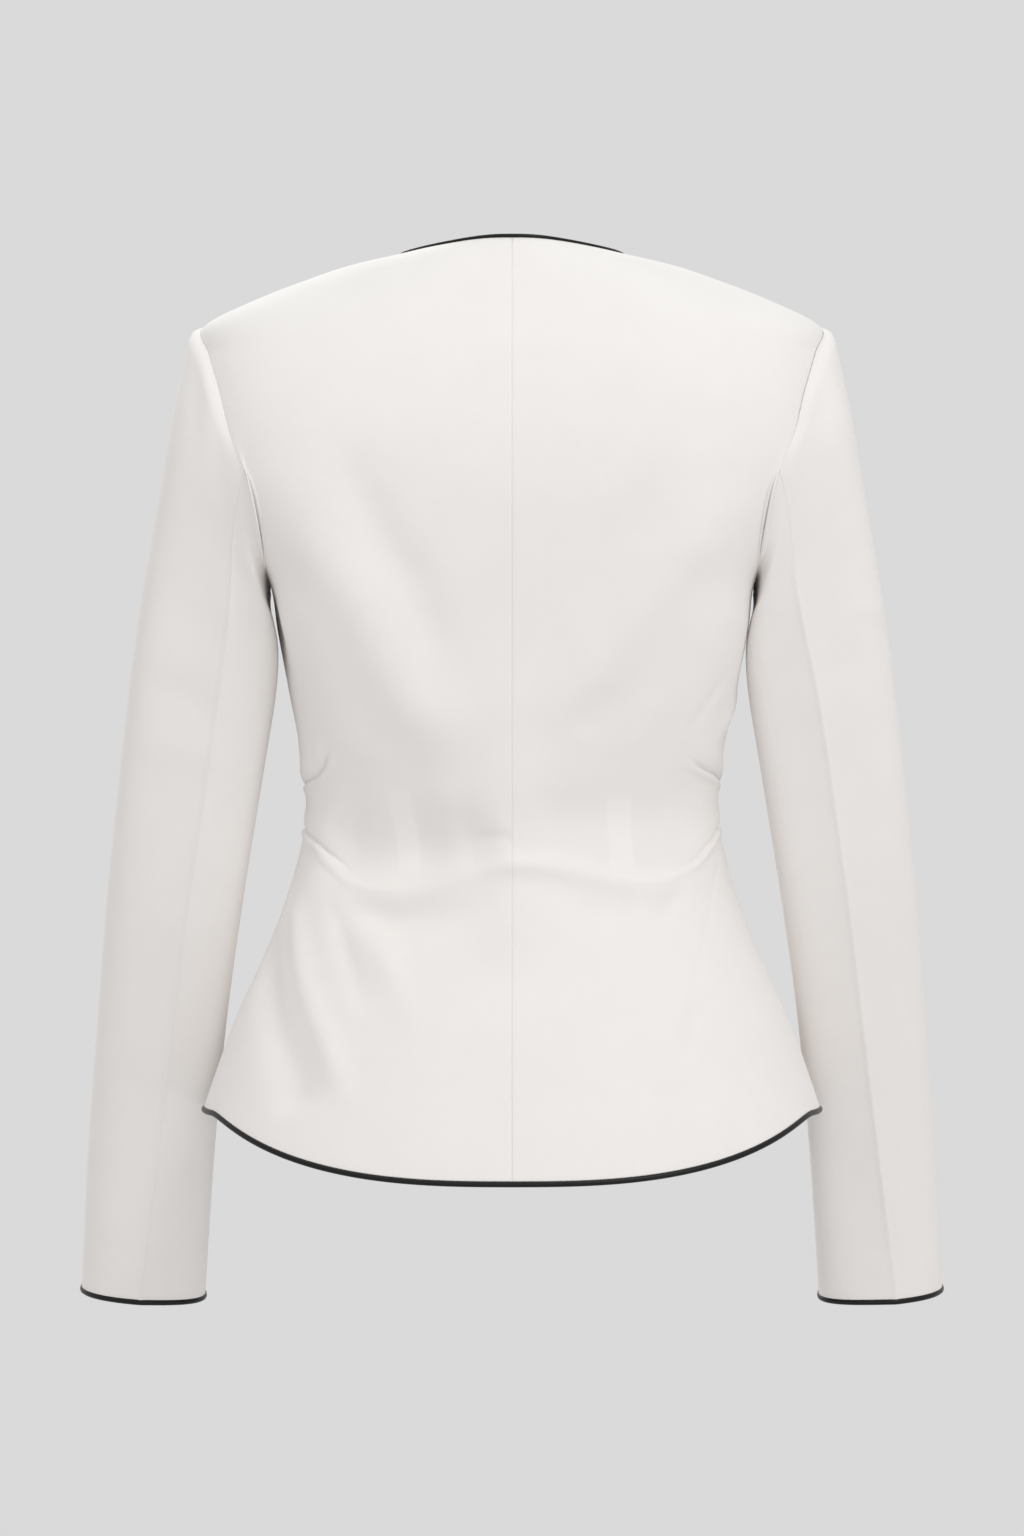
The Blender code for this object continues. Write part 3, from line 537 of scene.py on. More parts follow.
def crepe_material():
    """Matte crepe: a pebbled face from crinkled yarn, with a soft sheen and a barely uneven tone."""
    material = bpy.data.materials.new("ivory_crepe")
    material.use_nodes = True
    nodes, links = material.node_tree.nodes, material.node_tree.links
    shader = nodes["Principled BSDF"]
    shader.inputs["Roughness"].default_value = 0.82
    shader.inputs["Specular IOR Level"].default_value = 0.3
    shader.inputs["Sheen Weight"].default_value = 0.12
    shader.inputs["Sheen Roughness"].default_value = 0.55
    place = nodes.new("ShaderNodeTexCoord")
    pebble = nodes.new("ShaderNodeTexNoise")
    pebble.inputs["Scale"].default_value = 1500
    pebble.inputs["Detail"].default_value = 2
    slub = nodes.new("ShaderNodeTexNoise")
    slub.inputs["Scale"].default_value = 260
    slub.inputs["Detail"].default_value = 3
    fine = nodes.new("ShaderNodeBump")
    fine.inputs["Strength"].default_value = 0.35
    fine.inputs["Distance"].default_value = 0.0002
    broad = nodes.new("ShaderNodeBump")
    broad.inputs["Strength"].default_value = 0.25
    broad.inputs["Distance"].default_value = 0.0002
    tone = nodes.new("ShaderNodeTexNoise")
    tone.inputs["Scale"].default_value = 38
    tone.inputs["Detail"].default_value = 5
    ramp = nodes.new("ShaderNodeValToRGB")
    ramp.color_ramp.elements[0].position = 0.3
    ramp.color_ramp.elements[0].color = (0.873, 0.840, 0.816, 1)
    ramp.color_ramp.elements[1].position = 0.7
    ramp.color_ramp.elements[1].color = (0.887, 0.854, 0.830, 1)
    # Painted highlight: in the waist bands the cloth's colour is mixed towards a paler ivory.
    painted_highlight = nodes.new("ShaderNodeAttribute")
    painted_highlight.attribute_name = "painted_highlight"
    paler = nodes.new("ShaderNodeMix")
    paler.data_type = "RGBA"
    paler.inputs["B"].default_value = (0.908, 0.876, 0.853, 1)
    for texture in (pebble, slub, tone):
        links.new(place.outputs["Object"], texture.inputs["Vector"])
    links.new(tone.outputs["Fac"], ramp.inputs["Fac"])
    links.new(painted_highlight.outputs["Fac"], paler.inputs["Factor"])
    links.new(ramp.outputs["Color"], paler.inputs["A"])
    links.new(paler.outputs["Result"], shader.inputs["Base Color"])
    links.new(slub.outputs["Fac"], broad.inputs["Height"])
    links.new(pebble.outputs["Fac"], fine.inputs["Height"])
    links.new(broad.outputs["Normal"], fine.inputs["Normal"])
    links.new(fine.outputs["Normal"], shader.inputs["Normal"])
    return material


crepe = crepe_material()


def mirrored(points, side):
    return points * np.array((-1.0 if side == "left" else 1.0, 1.0, 1.0))


def cloth_sheet(name, points, normals, side):
    """A sheet of cloth through a grid of points, thickened on its inner side."""
    rows, columns = points.shape[:2]
    places, outward = mirrored(points, side), mirrored(normals, side)
    grid = bmesh.new()
    bmesh.ops.create_grid(grid, x_segments=columns - 1, y_segments=rows - 1, size=0.5)
    for vert in grid.verts:
        row, column = round((vert.co.y + 0.5) * (rows - 1)), round((vert.co.x + 0.5) * (columns - 1))
        vert.co = places[row, column]
    grid.normal_update()
    grid.faces.ensure_lookup_table()
    middle = grid.faces[(rows // 2) * (columns - 1) + columns // 2]
    if np.dot(middle.normal, outward[rows // 2, columns // 2]) < 0:
        bmesh.ops.reverse_faces(grid, faces=grid.faces)
    mesh = bpy.data.meshes.new(name)
    grid.to_mesh(mesh)
    grid.free()
    mesh.shade_smooth()
    mesh.materials.append(crepe)
    sheet = bpy.data.objects.new(name, mesh)
    bpy.context.scene.collection.objects.link(sheet)
    wall = sheet.modifiers.new("wall", "SOLIDIFY")
    wall.thickness = CLOTH
    wall.offset = -1
    return sheet


AGREEING = 0.5


def armhole_seam_way(angle):
    """Outward direction shared by body and sleeve at the armhole seam, and how far the two agree."""
    points = armhole_point(angle)
    back, front = (unit(body_slope(face, points)[1]) for face in ("back", "front"))
    body = np.where((np.mod(angle, 2 * math.pi) <= math.pi)[..., None], back, front)
    sleeve = sleeve_normal(np.zeros(angle.shape), angle)
    agree = np.clip((body * sleeve).sum(axis=-1) / AGREEING, 0, 1)
    return unit(body + sleeve * agree[..., None]), agree


# The right sleeve, which the body meets at the armhole, in sections down to the cuff: its outer and inner
# sides, its middle and depth, its squareness, and the angles of its hind and fore seams.
SleeveSection = namedtuple(
    "SleeveSection", "outer_x outer_z inner_x inner_z mid_y half_depth back_drop power hind fore")
SLEEVE = np.array((
    SleeveSection(0.1985, -0.0490, 0.1565, -0.2150, -0.0135, 0.0695, 0.0000, 2.0, 99, -99),
    SleeveSection(0.2066, -0.0555, 0.1568, -0.2182, -0.0130, 0.0700, 0.0000, 2.2, 104, -100),
    SleeveSection(0.2125, -0.0770, 0.1570, -0.2230, -0.0110, 0.0700, 0.0000, 3.2, 107, -101),
    SleeveSection(0.2195, -0.1110, 0.1554, -0.2300, -0.0080, 0.0680, 0.0000, 5.5, 108, -102.5),
    SleeveSection(0.2275, -0.1580, 0.1514, -0.2410, -0.0025, 0.0645, 0.0000, 8.0, 108, -105.5),
    SleeveSection(0.2380, -0.2150, 0.1485, -0.2610, 0.0040, 0.0600, 0.0000, 9.0, 106, -108),
    SleeveSection(0.2472, -0.2740, 0.1510, -0.2890, 0.0105, 0.0565, 0.0020, 9.0, 104, -110.5),
    SleeveSection(0.2557, -0.3400, 0.1600, -0.3400, 0.0205, 0.0525, 0.0040, 8.0, 103.5, -113),
    SleeveSection(0.2650, -0.4150, 0.1728, -0.4150, 0.0350, 0.0485, 0.0060, 6.5, 102.5, -114),
    SleeveSection(0.2730, -0.4950, 0.1848, -0.4950, 0.0565, 0.0450, 0.0060, 5.5, 101, -114.5),
    SleeveSection(0.2818, -0.5850, 0.1940, -0.5850, 0.0815, 0.0430, 0.0050, 4.5, 96.5, -114.5),
    SleeveSection(0.2880, -0.6808, 0.2008, -0.6846, 0.1000, 0.0420, 0.0035, 2.8, 88.5, -114.5),
))
CUFF_PLACE = len(SLEEVE) - 1
OUTER_SQUARENESS = 0.30
INNER_LEAN, LEAN_START, LEAN_PLACES = 0.010, 2, 3
CAP_PLACES, CAP_PLACES_LAPPED = 4, 0.4
SMALL_STEP = 1e-3


def sleeve_sizes(place):
    return SleeveSection(*np.moveaxis(smooth(np.arange(len(SLEEVE)), SLEEVE, place), -1, 0))


def sleeve_oval(place, angle):
    """A section of the sleeve. Its inner side is the squarer one, and leans outwards towards the front."""
    size = sleeve_sizes(place)
    power = np.where(np.cos(angle) < 0, size.power, 2 + OUTER_SQUARENESS * (size.power - 2))
    across, away = square(np.cos(angle), np.sin(angle), power)
    lean = INNER_LEAN * np.clip((place - LEAN_START) / LEAN_PLACES, 0, 1) * (1 - across) * (1 - away) / 4
    x = (size.outer_x + size.inner_x) / 2 + across * (size.outer_x - size.inner_x) / 2 + lean
    y = size.mid_y - away * size.half_depth
    z = (size.outer_z + size.inner_z) / 2 + across * (size.outer_z - size.inner_z) / 2
    return np.stack([x, y, z - away * size.back_drop], axis=-1)


def sleeve_point(place, angle):
    """The right sleeve: place counts sections from the armhole, and angle 0 is the outer side, 90 the back.

    Low on the back the sleeve drops away behind the edge of the body."""
    blend = np.maximum(1 - place / (CAP_PLACES - CAP_PLACES_LAPPED * low_back(angle)), 0)[..., None] ** 2
    sewn_in = armhole_seam(angle) - sleeve_oval(np.zeros(angle.shape), angle)
    return sleeve_oval(place, angle) + blend * sewn_in


def sleeve_normal(place, angle):
    low = np.minimum(place, CUFF_PLACE - SMALL_STEP)
    along = sleeve_point(low + SMALL_STEP, angle) - sleeve_point(low, angle)
    around = sleeve_point(place, angle + SMALL_STEP) - sleeve_point(place, angle - SMALL_STEP)
    return unit(np.cross(around, along))


def edge_gap(points, row=None, column=None):
    """Each point's distance from the grid's edge in its own column or row."""
    edge = points[row][None] if row is not None else points[:, column][:, None]
    return np.linalg.norm(points - edge, axis=-1)


GAP_SPREAD = 0.03
SIDE_CLEARANCE, EDGE_CLEARANCE = 0.014, 0.016
LAPPED_DIP_LOSS = 0.5


def body_panel(face, side, folds, centre_gap):
    """Final points and outward directions of one body panel, on the right-hand side."""
    points, columns, rows = body_grid(face)
    if centre_gap:
        x = points[..., 0]
        points[..., 0] = np.where(x < GAP_SPREAD, centre_gap + x * (1 - centre_gap / GAP_SPREAD), x)
        points = on_body(face, points)
    normals = unit(body_slope(face, points)[1])
    from_centre, from_side = round_body(face, points)
    height = points[..., 2]
    signed = from_centre * (-1 if side == "left" else 1)
    to_side, to_centre = edge_gap(points, column=-1), edge_gap(points, column=0)
    to_top = edge_gap(points, row=-1)
    clear = ease(to_side / SIDE_CLEARANCE) * ease(to_top / EDGE_CLEARANCE)
    if centre_gap:
        clear = clear * ease(to_centre / EDGE_CLEARANCE)
    push = clear * fold_push(folds, signed, height)
    push += fold_push(SIDE_FOLDS[side], from_side * (1 if face == "back" else -1), height)
    if not centre_gap:
        push += seam(to_centre)
    shoulder = (columns >= NECK_COLUMNS)[None, :]
    push += np.where(shoulder, seam(to_top), 0)
    upper = len(points) - len(rows)
    push[:upper] += seam(to_side[:upper])
    turn = armhole_turn(face, rows)
    lapped = low_back(turn)
    way, agree = armhole_seam_way(turn)
    drawn_in = agree * (1 - LAPPED_DIP_LOSS * lapped)
    dip = seam(to_side[upper:], ARMHOLE_DIP[side], ARMHOLE_HALF_WIDTH) * drawn_in[:, None]
    final = points + normals * push[..., None]
    final[upper:] += way[:, None] * dip[..., None]
    if face == "back":
        at_edge = np.clip(1 - to_side[upper:] / LIP_WIDTH, 0, 1) ** 2
        final[upper:, :, 1] -= LIP * lapped[:, None] * at_edge
    return final, normals


panels = {}
for side in ("left", "right"):
    panels["back", side] = body_panel("back", side, BACK_FOLDS, 0)
    piece = cloth_sheet(f"back_panel_{side}", *panels["back", side], side)
    places = np.array([vert.co for vert in piece.data.vertices])
    hand = np.sign(places[:, 0])
    right_hand = places * np.stack([hand, np.ones(len(hand)), np.ones(len(hand))], axis=1)
    from_centre, _ = round_body("back", right_hand[None])
    # Painted highlight: marks where the paler waist bands are painted on this panel.
    highlight_mask = piece.data.attributes.new("painted_highlight", "FLOAT", "POINT")
    highlight_mask.data.foreach_set("value", painted_highlight_share(BACK_HIGHLIGHT_BANDS, from_centre[0] * hand, places[:, 2]))
    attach(piece, "root")
    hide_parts(f"back_{side}")


# Fronts
# Two plain panels of the same crepe that meet edge to edge at the centre front under a V neck.
# They share the side tucks with the back, and drag softly from the armholes to the waist.

FRONT_EDGE_GAP = 0.00485

# Path points: distance round from the centre front (the wearer's right is positive), and height.
FRONT_FOLDS = (
    Fold((0.3, 0.3), ((0, 0.0015, 0.008), (-0.016, -0.0007, 0.009)),
         ((-0.128, -0.393), (-0.105, -0.400), (-0.075, -0.404), (-0.045, -0.400), (-0.015, -0.392))),
    Fold((0.3, 0.3), ((0, 0.0013, 0.008), (-0.016, -0.0006, 0.009)),
         ((0.012, -0.391), (0.040, -0.397), (0.072, -0.402), (0.108, -0.398), (0.132, -0.389))),
    Fold((0.3, 0.4), ((0, -0.0016, 0.012),), ((-0.130, -0.372), (-0.080, -0.381), (-0.030, -0.380))),
    Fold((0.3, 0.4), ((0, -0.0015, 0.012),), ((0.128, -0.371), (0.076, -0.379), (0.028, -0.379))),
    Fold((0.35, 0.3), ((0, 0.0018, 0.017),), ((-0.150, -0.205), (-0.105, -0.262), (-0.052, -0.325))),
    Fold((0.35, 0.3), ((0, -0.0014, 0.014),), ((-0.118, -0.200), (-0.078, -0.255), (-0.036, -0.310))),
    Fold((0.35, 0.3), ((0, 0.0016, 0.018),), ((0.146, -0.196), (0.110, -0.250), (0.060, -0.318))),
    Fold((0.35, 0.3), ((0, -0.0013, 0.013),), ((0.160, -0.235), (0.125, -0.285), (0.090, -0.330))),
    Fold((0.3, 0.5), ((0, 0.0014, 0.009),), ((-0.140, -0.404), (-0.128, -0.450), (-0.112, -0.505))),
    Fold((0.3, 0.5), ((0, -0.0013, 0.008),), ((-0.110, -0.415), (-0.096, -0.455), (-0.080, -0.495))),
    Fold((0.3, 0.5), ((0, 0.0012, 0.010),), ((0.136, -0.402), (0.126, -0.446), (0.116, -0.490))),
    Fold((0.3, 0.5), ((0, -0.0012, 0.007),), ((0.108, -0.412), (0.099, -0.452), (0.092, -0.500))),
    Fold((0.1, 0.1), ((0, -0.00025, 0.0013),), ((-0.190, -0.536), (-0.100, -0.534), (-0.010, -0.533))),
    Fold((0.1, 0.1), ((0, -0.00025, 0.0013),), ((0.010, -0.533), (0.100, -0.534), (0.190, -0.536))),
)

for side in ("left", "right"):
    panels["front", side] = body_panel("front", side, FRONT_FOLDS, FRONT_EDGE_GAP)
    piece = cloth_sheet(f"front_panel_{side}", *panels["front", side], side)
    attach(piece, "root")
    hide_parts(f"front_{side}")


# Sleeves
# Each sleeve is a top and an under piece of crepe, seamed down the hind arm and the fore arm and
# eased into the armhole, so that the cap stands slightly proud of the shoulder.

SLEEVE_STEP, CAP_ROW = 0.0042, 0.7
SLEEVE_WIDTH = {"top": 0.20, "under": 0.12}
CAP_LIFT, CAP_LIFT_AT, CAP_LIFT_WIDTH = 0.0012, 0.008, 0.007
CAP_LIFT_END, CAP_LIFT_RISE = -0.2, 0.7
HIND_RIDGE, HIND_RIDGE_HALF_WIDTH = 0.00045, 0.0018
HIND_RIDGE_START, HIND_RIDGE_RISE = 0.01, 0.05
HIND_CREASE, HIND_CREASE_WIDTH = 0.0070, 0.050
HIND_CREASE_START, HIND_CREASE_RISE = 0.03, 0.08
CUFF_CREASE_SHARE, CUFF_CREASE_RISE = 0.4, 0.10
FACING_SLOPE, ARMHOLE_CLEARANCE = 0.5, 0.010
# The right sleeve hangs turned a little outward.
HIND_TURN = {"left": 0.0, "right": -10.5}
HIND_TURN_START, HIND_TURN_PLACES = 3, 4

# Path points: distance from the centre of the body, and height, seen from behind or from in front.
SLEEVE_FOLDS = {
    ("back", "left"): (
        Fold((0.2, 0.5), ((0, 0.0014, 0.007),),
             ((0.1935, -0.064), (0.193, -0.085), (0.1925, -0.110), (0.195, -0.150))),
        Fold((0.2, 0.5), ((0, -0.0012, 0.008),),
             ((0.198, -0.065), (0.201, -0.100), (0.206, -0.130), (0.208, -0.155))),
        Fold((0.4, 0.4), ((0, -0.0010, 0.012),), ((0.185, -0.305), (0.212, -0.288), (0.240, -0.279))),
        Fold((0.4, 0.4), ((0, 0.0008, 0.012),), ((0.178, -0.335), (0.208, -0.322), (0.246, -0.318))),
        Fold((0.4, 0.4), ((0, -0.0007, 0.014),), ((0.212, -0.430), (0.222, -0.480), (0.232, -0.540))),
    ),
    ("back", "right"): (
        Fold((0.2, 0.5), ((0, 0.0014, 0.006),),
             ((0.1994, -0.068), (0.206, -0.090), (0.214, -0.115), (0.2217, -0.142))),
        Fold((0.2, 0.5), ((0, -0.0010, 0.007),), ((0.191, -0.075), (0.197, -0.100), (0.206, -0.132))),
        Fold((0.5, 0.2), ((0, 0.0013, 0.008),), ((0.214, -0.230), (0.228, -0.233), (0.241, -0.235))),
        Fold((0.4, 0.4), ((0, -0.0009, 0.012),), ((0.180, -0.285), (0.210, -0.268), (0.238, -0.258))),
        Fold((0.4, 0.4), ((0, -0.0007, 0.013),), ((0.206, -0.400), (0.218, -0.455), (0.224, -0.520))),
    ),
    ("front", "left"): (
        Fold((0.3, 0.5), ((0, 0.0012, 0.008),), ((0.198, -0.070), (0.204, -0.110), (0.212, -0.150))),
        Fold((0.3, 0.4), ((0, -0.0020, 0.007),), ((0.168, -0.318), (0.195, -0.333), (0.225, -0.336))),
        Fold((0.3, 0.4), ((0, -0.0017, 0.008),), ((0.172, -0.352), (0.200, -0.357), (0.232, -0.350))),
    ),
    ("front", "right"): (
        Fold((0.3, 0.5), ((0, 0.0012, 0.008),), ((0.197, -0.072), (0.205, -0.108), (0.210, -0.146))),
        Fold((0.3, 0.4), ((0, -0.0018, 0.008),), ((0.166, -0.312), (0.192, -0.326), (0.220, -0.331))),
        Fold((0.3, 0.4), ((0, -0.0019, 0.007),), ((0.170, -0.345), (0.202, -0.352), (0.228, -0.347))),
    ),
}
CUFF_TURNING, CUFF_TURNING_DIP, CUFF_TURNING_HALF_WIDTH = 0.034, 0.00025, 0.0014


def sleeve_grid(kind, side):
    """Places and angles of the right sleeve's top or under piece, close together along its edges."""
    outer = sleeve_point(np.arange(len(SLEEVE)) * 1.0, np.zeros(len(SLEEVE)))
    spans = np.linalg.norm(np.diff(outer, axis=0), axis=1)
    places = np.concatenate(
        [SEAM_STEPS / spans[0], [CAP_ROW]]
        + [k + spaced(0, 1, SLEEVE_STEP / span)[:-1] for k, span in enumerate(spans) if k]
        + [(CUFF_PLACE - SEAM_STEPS / spans[-1])[::-1]]
    )
    places = np.unique(places)
    size = sleeve_sizes(places)
    hind = size.hind + HIND_TURN[side] * ease((places - HIND_TURN_START) / HIND_TURN_PLACES)
    start, end = (size.fore, hind) if kind == "top" else (hind, size.fore + 360)
    edge = SEAM_STEPS / SLEEVE_WIDTH[kind]
    between = spaced(edge[-1], 1 - edge[-1], SLEEVE_STEP / SLEEVE_WIDTH[kind])[1:-1]
    shares = np.concatenate([edge, between, (1 - edge)[::-1]])
    angles = np.radians(start[:, None] + (end - start)[:, None] * shares)
    return np.broadcast_to(places[:, None], angles.shape), angles


def sleeve_panel(kind, side):
    """Final points and outward directions of one sleeve piece, on the right-hand side."""
    places, angles = sleeve_grid(kind, side)
    points, normals = sleeve_point(places, angles), sleeve_normal(places, angles)
    to_arm, to_cuff = edge_gap(points, row=0), edge_gap(points, row=-1)
    hind, fore = (-1, 0) if kind == "top" else (0, -1)
    to_hind = edge_gap(points, column=hind)
    push = seam(edge_gap(points, column=fore))
    ridge = seam(to_hind, HIND_RIDGE, HIND_RIDGE_HALF_WIDTH)
    push -= ridge * ease((to_arm - HIND_RIDGE_START) / HIND_RIDGE_RISE)
    crease = HIND_CREASE * np.clip(1 - to_hind / HIND_CREASE_WIDTH, 0, 1) ** 2
    at_cuff = CUFF_CREASE_SHARE + (1 - CUFF_CREASE_SHARE) * ease(to_cuff / CUFF_CREASE_RISE)
    push += crease * ease((to_arm - HIND_CREASE_START) / HIND_CREASE_RISE) * at_cuff
    for face in ("back", "front"):
        seen = ease(normals[..., 1] * FACING[face] / FACING_SLOPE)
        creases = fold_push(SLEEVE_FOLDS[face, side], points[..., 0], points[..., 2])
        push += seen * ease(to_arm / ARMHOLE_CLEARANCE) * creases
    cap = np.exp(-(((to_arm - CAP_LIFT_AT) / CAP_LIFT_WIDTH) ** 2))
    push += CAP_LIFT * cap * ease((np.cos(angles) - CAP_LIFT_END) / CAP_LIFT_RISE)
    push += seam(to_cuff - CUFF_TURNING, CUFF_TURNING_DIP, CUFF_TURNING_HALF_WIDTH)
    way, agree = armhole_seam_way(angles[0])
    final = points + normals * push[..., None]
    final += way * (seam(to_arm) * agree)[..., None]
    return final, normals


for side in ("left", "right"):
    for kind in ("top", "under"):
        panels[kind, side] = sleeve_panel(kind, side)
        piece = cloth_sheet(f"{kind}_sleeve_panel_{side}", *panels[kind, side], side)
        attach(piece, "root")
        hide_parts(f"{kind}_sleeve_{side}")


# Piping
# Black satin cut on the bias and wrapped round a soft cord, caught in the edges of the cloth:
# one length up the fronts and round the neck, one round the hem, and a ring at each cuff.

NECK_CORD, HEM_CORD, CUFF_CORD = 0.0025, 0.0036, 0.0038
NECK_CORD_PROUD = 0.0010
CORD_STEP, CORD_EASING_ROUNDS = 0.002, 3
HEM_CORD_END = 0.0002


def satin_material():
    """Black satin: close, dark yarn with a low shine."""
    material = bpy.data.materials.new("black_satin_piping")
    material.use_nodes = True
    nodes, links = material.node_tree.nodes, material.node_tree.links
    shader = nodes["Principled BSDF"]
    shader.inputs["Roughness"].default_value = 0.36
    shader.inputs["Specular IOR Level"].default_value = 0.25
    place = nodes.new("ShaderNodeTexCoord")
    yarn = nodes.new("ShaderNodeTexNoise")
    yarn.inputs["Scale"].default_value = 1800
    yarn.inputs["Detail"].default_value = 2
    ramp = nodes.new("ShaderNodeValToRGB")
    ramp.color_ramp.elements[0].color = (0.004, 0.004, 0.0045, 1)
    ramp.color_ramp.elements[1].color = (0.010, 0.010, 0.011, 1)
    bump = nodes.new("ShaderNodeBump")
    bump.inputs["Strength"].default_value = 0.3
    bump.inputs["Distance"].default_value = 0.0002
    links.new(place.outputs["Object"], yarn.inputs["Vector"])
    links.new(yarn.outputs["Fac"], ramp.inputs["Fac"])
    links.new(ramp.outputs["Color"], shader.inputs["Base Color"])
    links.new(yarn.outputs["Fac"], bump.inputs["Height"])
    links.new(bump.outputs["Normal"], shader.inputs["Normal"])
    return material


satin = satin_material()


def panel_edge(panel, side, *places):
    """Points and outward directions along an edge of a panel, on its own side."""
    points, normals = panels[panel, side]
    return np.stack([mirrored(points[places], side), mirrored(normals[places], side)])


def turned_back(edge):
    return edge[:, ::-1]


def cord(name, parts, closed, diameter, node, proud=0.0):
    """A round piping along edges of the cloth, which run with the open side on their left."""
    edge, ways = np.concatenate(parts, axis=1)
    edge = edge - ways * CLOTH / 2
    if closed:
        edge, ways = np.concatenate([edge, edge[:1]]), np.concatenate([ways, ways[:1]])
    lengths = np.concatenate([[0], np.cumsum(np.linalg.norm(np.diff(edge, axis=0), axis=1))])
    count = round(lengths[-1] / CORD_STEP)
    at = np.linspace(0, lengths[-1], count + 1)
    edge, ways = (
        np.stack([np.interp(at, lengths, line[:, k]) for k in range(3)], axis=1) for line in (edge, ways)
    )
    if closed:
        edge, ways = edge[:-1], ways[:-1]
        ahead = unit(np.roll(edge, -1, axis=0) - np.roll(edge, 1, axis=0))
    else:
        ahead = unit(np.gradient(edge, axis=0))
    centre = edge + unit(np.cross(ways, ahead)) * diameter / 2 + ways * proud
    for _ in range(CORD_EASING_ROUNDS):
        if closed:
            centre = (np.roll(centre, 1, axis=0) + 2 * centre + np.roll(centre, -1, axis=0)) / 4
        else:
            centre[1:-1] = (centre[:-2] + 2 * centre[1:-1] + centre[2:]) / 4
    curve = bpy.data.curves.new(name, "CURVE")
    curve.dimensions = "3D"
    curve.bevel_depth = diameter / 2
    curve.bevel_resolution = 3
    curve.use_fill_caps = True
    line = curve.splines.new("POLY")
    line.points.add(len(centre) - 1)
    line.points.foreach_set("co", np.column_stack([centre, np.ones(len(centre))]).ravel())
    line.use_cyclic_u = closed
    bent = bpy.data.objects.new(name + "_line", curve)
    mesh = bpy.data.meshes.new_from_object(bent)
    bpy.data.objects.remove(bent)
    bpy.data.curves.remove(curve)
    mesh.name = name
    mesh.shade_smooth()
    mesh.materials.clear()
    mesh.materials.append(satin)
    piece = bpy.data.objects.new(name, mesh)
    bpy.context.scene.collection.objects.link(piece)
    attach(piece, "root")
    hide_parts(node)
    return piece


neck = slice(0, int(np.flatnonzero(body_grid("back")[1] == NECK_COLUMNS)[0]) + 1)
whole = slice(None)
cord("neck_and_front_cord", [
    panel_edge("front", "left", whole, 0),
    panel_edge("front", "left", -1, neck),
    turned_back(panel_edge("back", "left", -1, neck)),
    panel_edge("back", "right", -1, neck),
    turned_back(panel_edge("front", "right", -1, neck)),
    turned_back(panel_edge("front", "right", whole, 0)),
], False, NECK_CORD, "neck_and_front_piping", NECK_CORD_PROUD)

hem = []
for face, side in (("front", "right"), ("back", "right"), ("back", "left"), ("front", "left")):
    edge = panel_edge(face, side, 0, whole)
    if face == "front":
        end = edge[:, :1].copy()
        end[0, :, 0] = HEM_CORD_END if side == "right" else -HEM_CORD_END
        edge = np.concatenate([end, edge], axis=1)
    hem.append(edge if (face == "front") == (side == "right") else turned_back(edge))
cord("hem_cord", hem, False, HEM_CORD, "hem_piping")

for side in ("left", "right"):
    ring = [panel_edge(kind, side, -1, slice(0, -1)) for kind in ("top", "under")]
    if side == "left":
        ring = [turned_back(edge) for edge in reversed(ring)]
    cord(f"cuff_cord_{side}", ring, True, CUFF_CORD, f"cuff_piping_{side}")


# Studio
# A pale floor at the wearer's feet, an even pale surround, and a large soft light high on the camera's right,
# with weak fills round it and a small cool light above.

FLOOR_HEIGHT, FLOOR_HALF_SIZE = -1.40, 2.6
CAMERA_DISTANCE, CAMERA_HEIGHT, LENS = 3.2, -0.335, 115.4

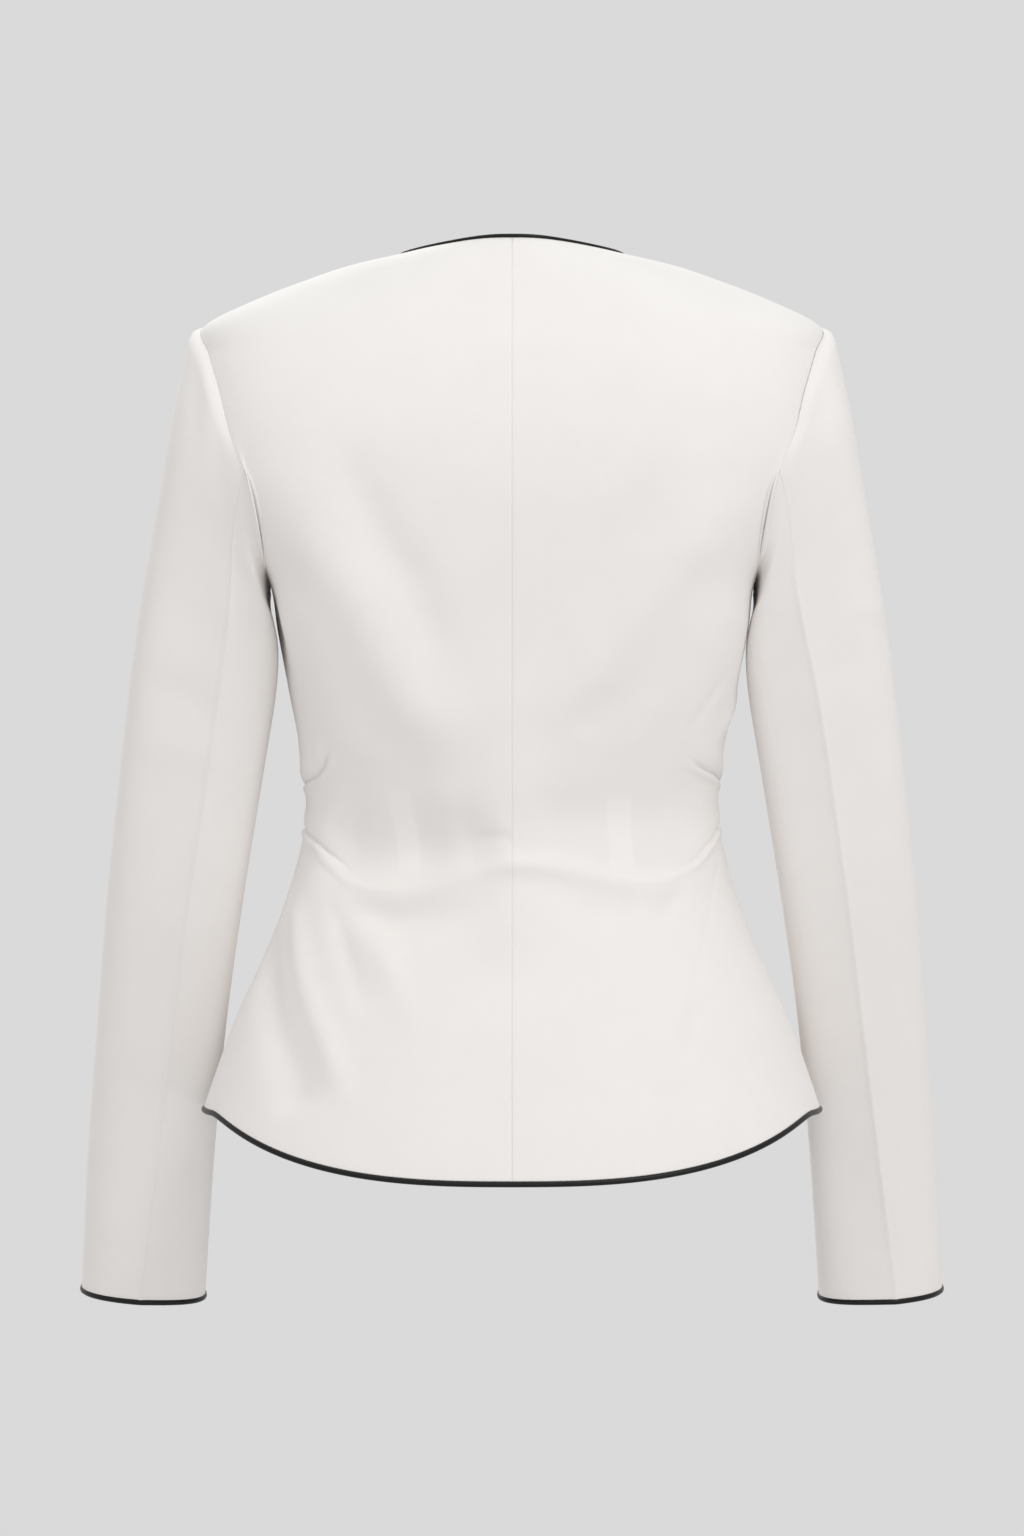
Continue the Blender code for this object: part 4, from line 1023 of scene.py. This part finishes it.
floor_grid = bmesh.new()
bmesh.ops.create_grid(floor_grid, x_segments=1, y_segments=1, size=FLOOR_HALF_SIZE)
bmesh.ops.translate(floor_grid, verts=floor_grid.verts, vec=(0, 0, FLOOR_HEIGHT))
floor_mesh = bpy.data.meshes.new("floor")
floor_grid.to_mesh(floor_mesh)
floor_grid.free()
floor_paint = bpy.data.materials.new("floor_paint")
floor_paint.use_nodes = True
floor_shader = floor_paint.node_tree.nodes["Principled BSDF"]
floor_shader.inputs["Base Color"].default_value = (0.70, 0.70, 0.70, 1)
floor_shader.inputs["Roughness"].default_value = 0.9
floor_mesh.materials.append(floor_paint)
floor = bpy.data.objects.new("floor", floor_mesh)
bpy.context.scene.collection.objects.link(floor)

scene = bpy.context.scene
scene.view_settings.view_transform = "Standard"
scene.world = bpy.data.worlds.new("surround")
scene.world.use_nodes = True
surround = scene.world.node_tree.nodes["Background"]
surround.inputs["Color"].default_value = (0.700, 0.700, 0.700, 1)
surround.inputs["Strength"].default_value = 1.0


def area_light(name, place, aim, size, power, colour=(1, 1, 1)):
    data = bpy.data.lights.new(name, "AREA")
    data.shape = "DISK"
    data.size = size
    data.energy = power
    data.color = colour
    lamp = bpy.data.objects.new(name, data)
    lamp.location = place
    way = np.array(aim) - np.array(place)
    lamp.rotation_euler = (math.acos(-way[2] / np.linalg.norm(way)), 0, math.atan2(-way[0], way[1]))
    bpy.context.scene.collection.objects.link(lamp)


area_light("key", (1.55, -2.70, 2.85), (0, 0, -0.30), 1.5, 43.7)
area_light("camera_fill", (-0.3, -3.4, 0.0), (0, 0, -0.30), 1.6, 5)
area_light("right_fill", (1.7, -2.6, -1.4), (0, 0, -0.35), 1.2, 7)
area_light("left_fill", (-1.2, -1.0, 2.2), (0, 0, -0.30), 1.0, 4)
area_light("top_light", (0, -0.25, 2.6), (0, -0.05, -0.05), 0.9, 3, (0.55, 1.0, 1.0))
area_light("front_fill", (-0.9, 2.4, 1.6), (0, 0, -0.30), 1.4, 26)

camera = bpy.data.objects.new("camera", bpy.data.cameras.new("camera"))
camera.location = (0, -CAMERA_DISTANCE, CAMERA_HEIGHT)
camera.rotation_euler = (math.pi / 2, 0, 0)
camera.data.lens = LENS
bpy.context.scene.collection.objects.link(camera)
scene.camera = camera
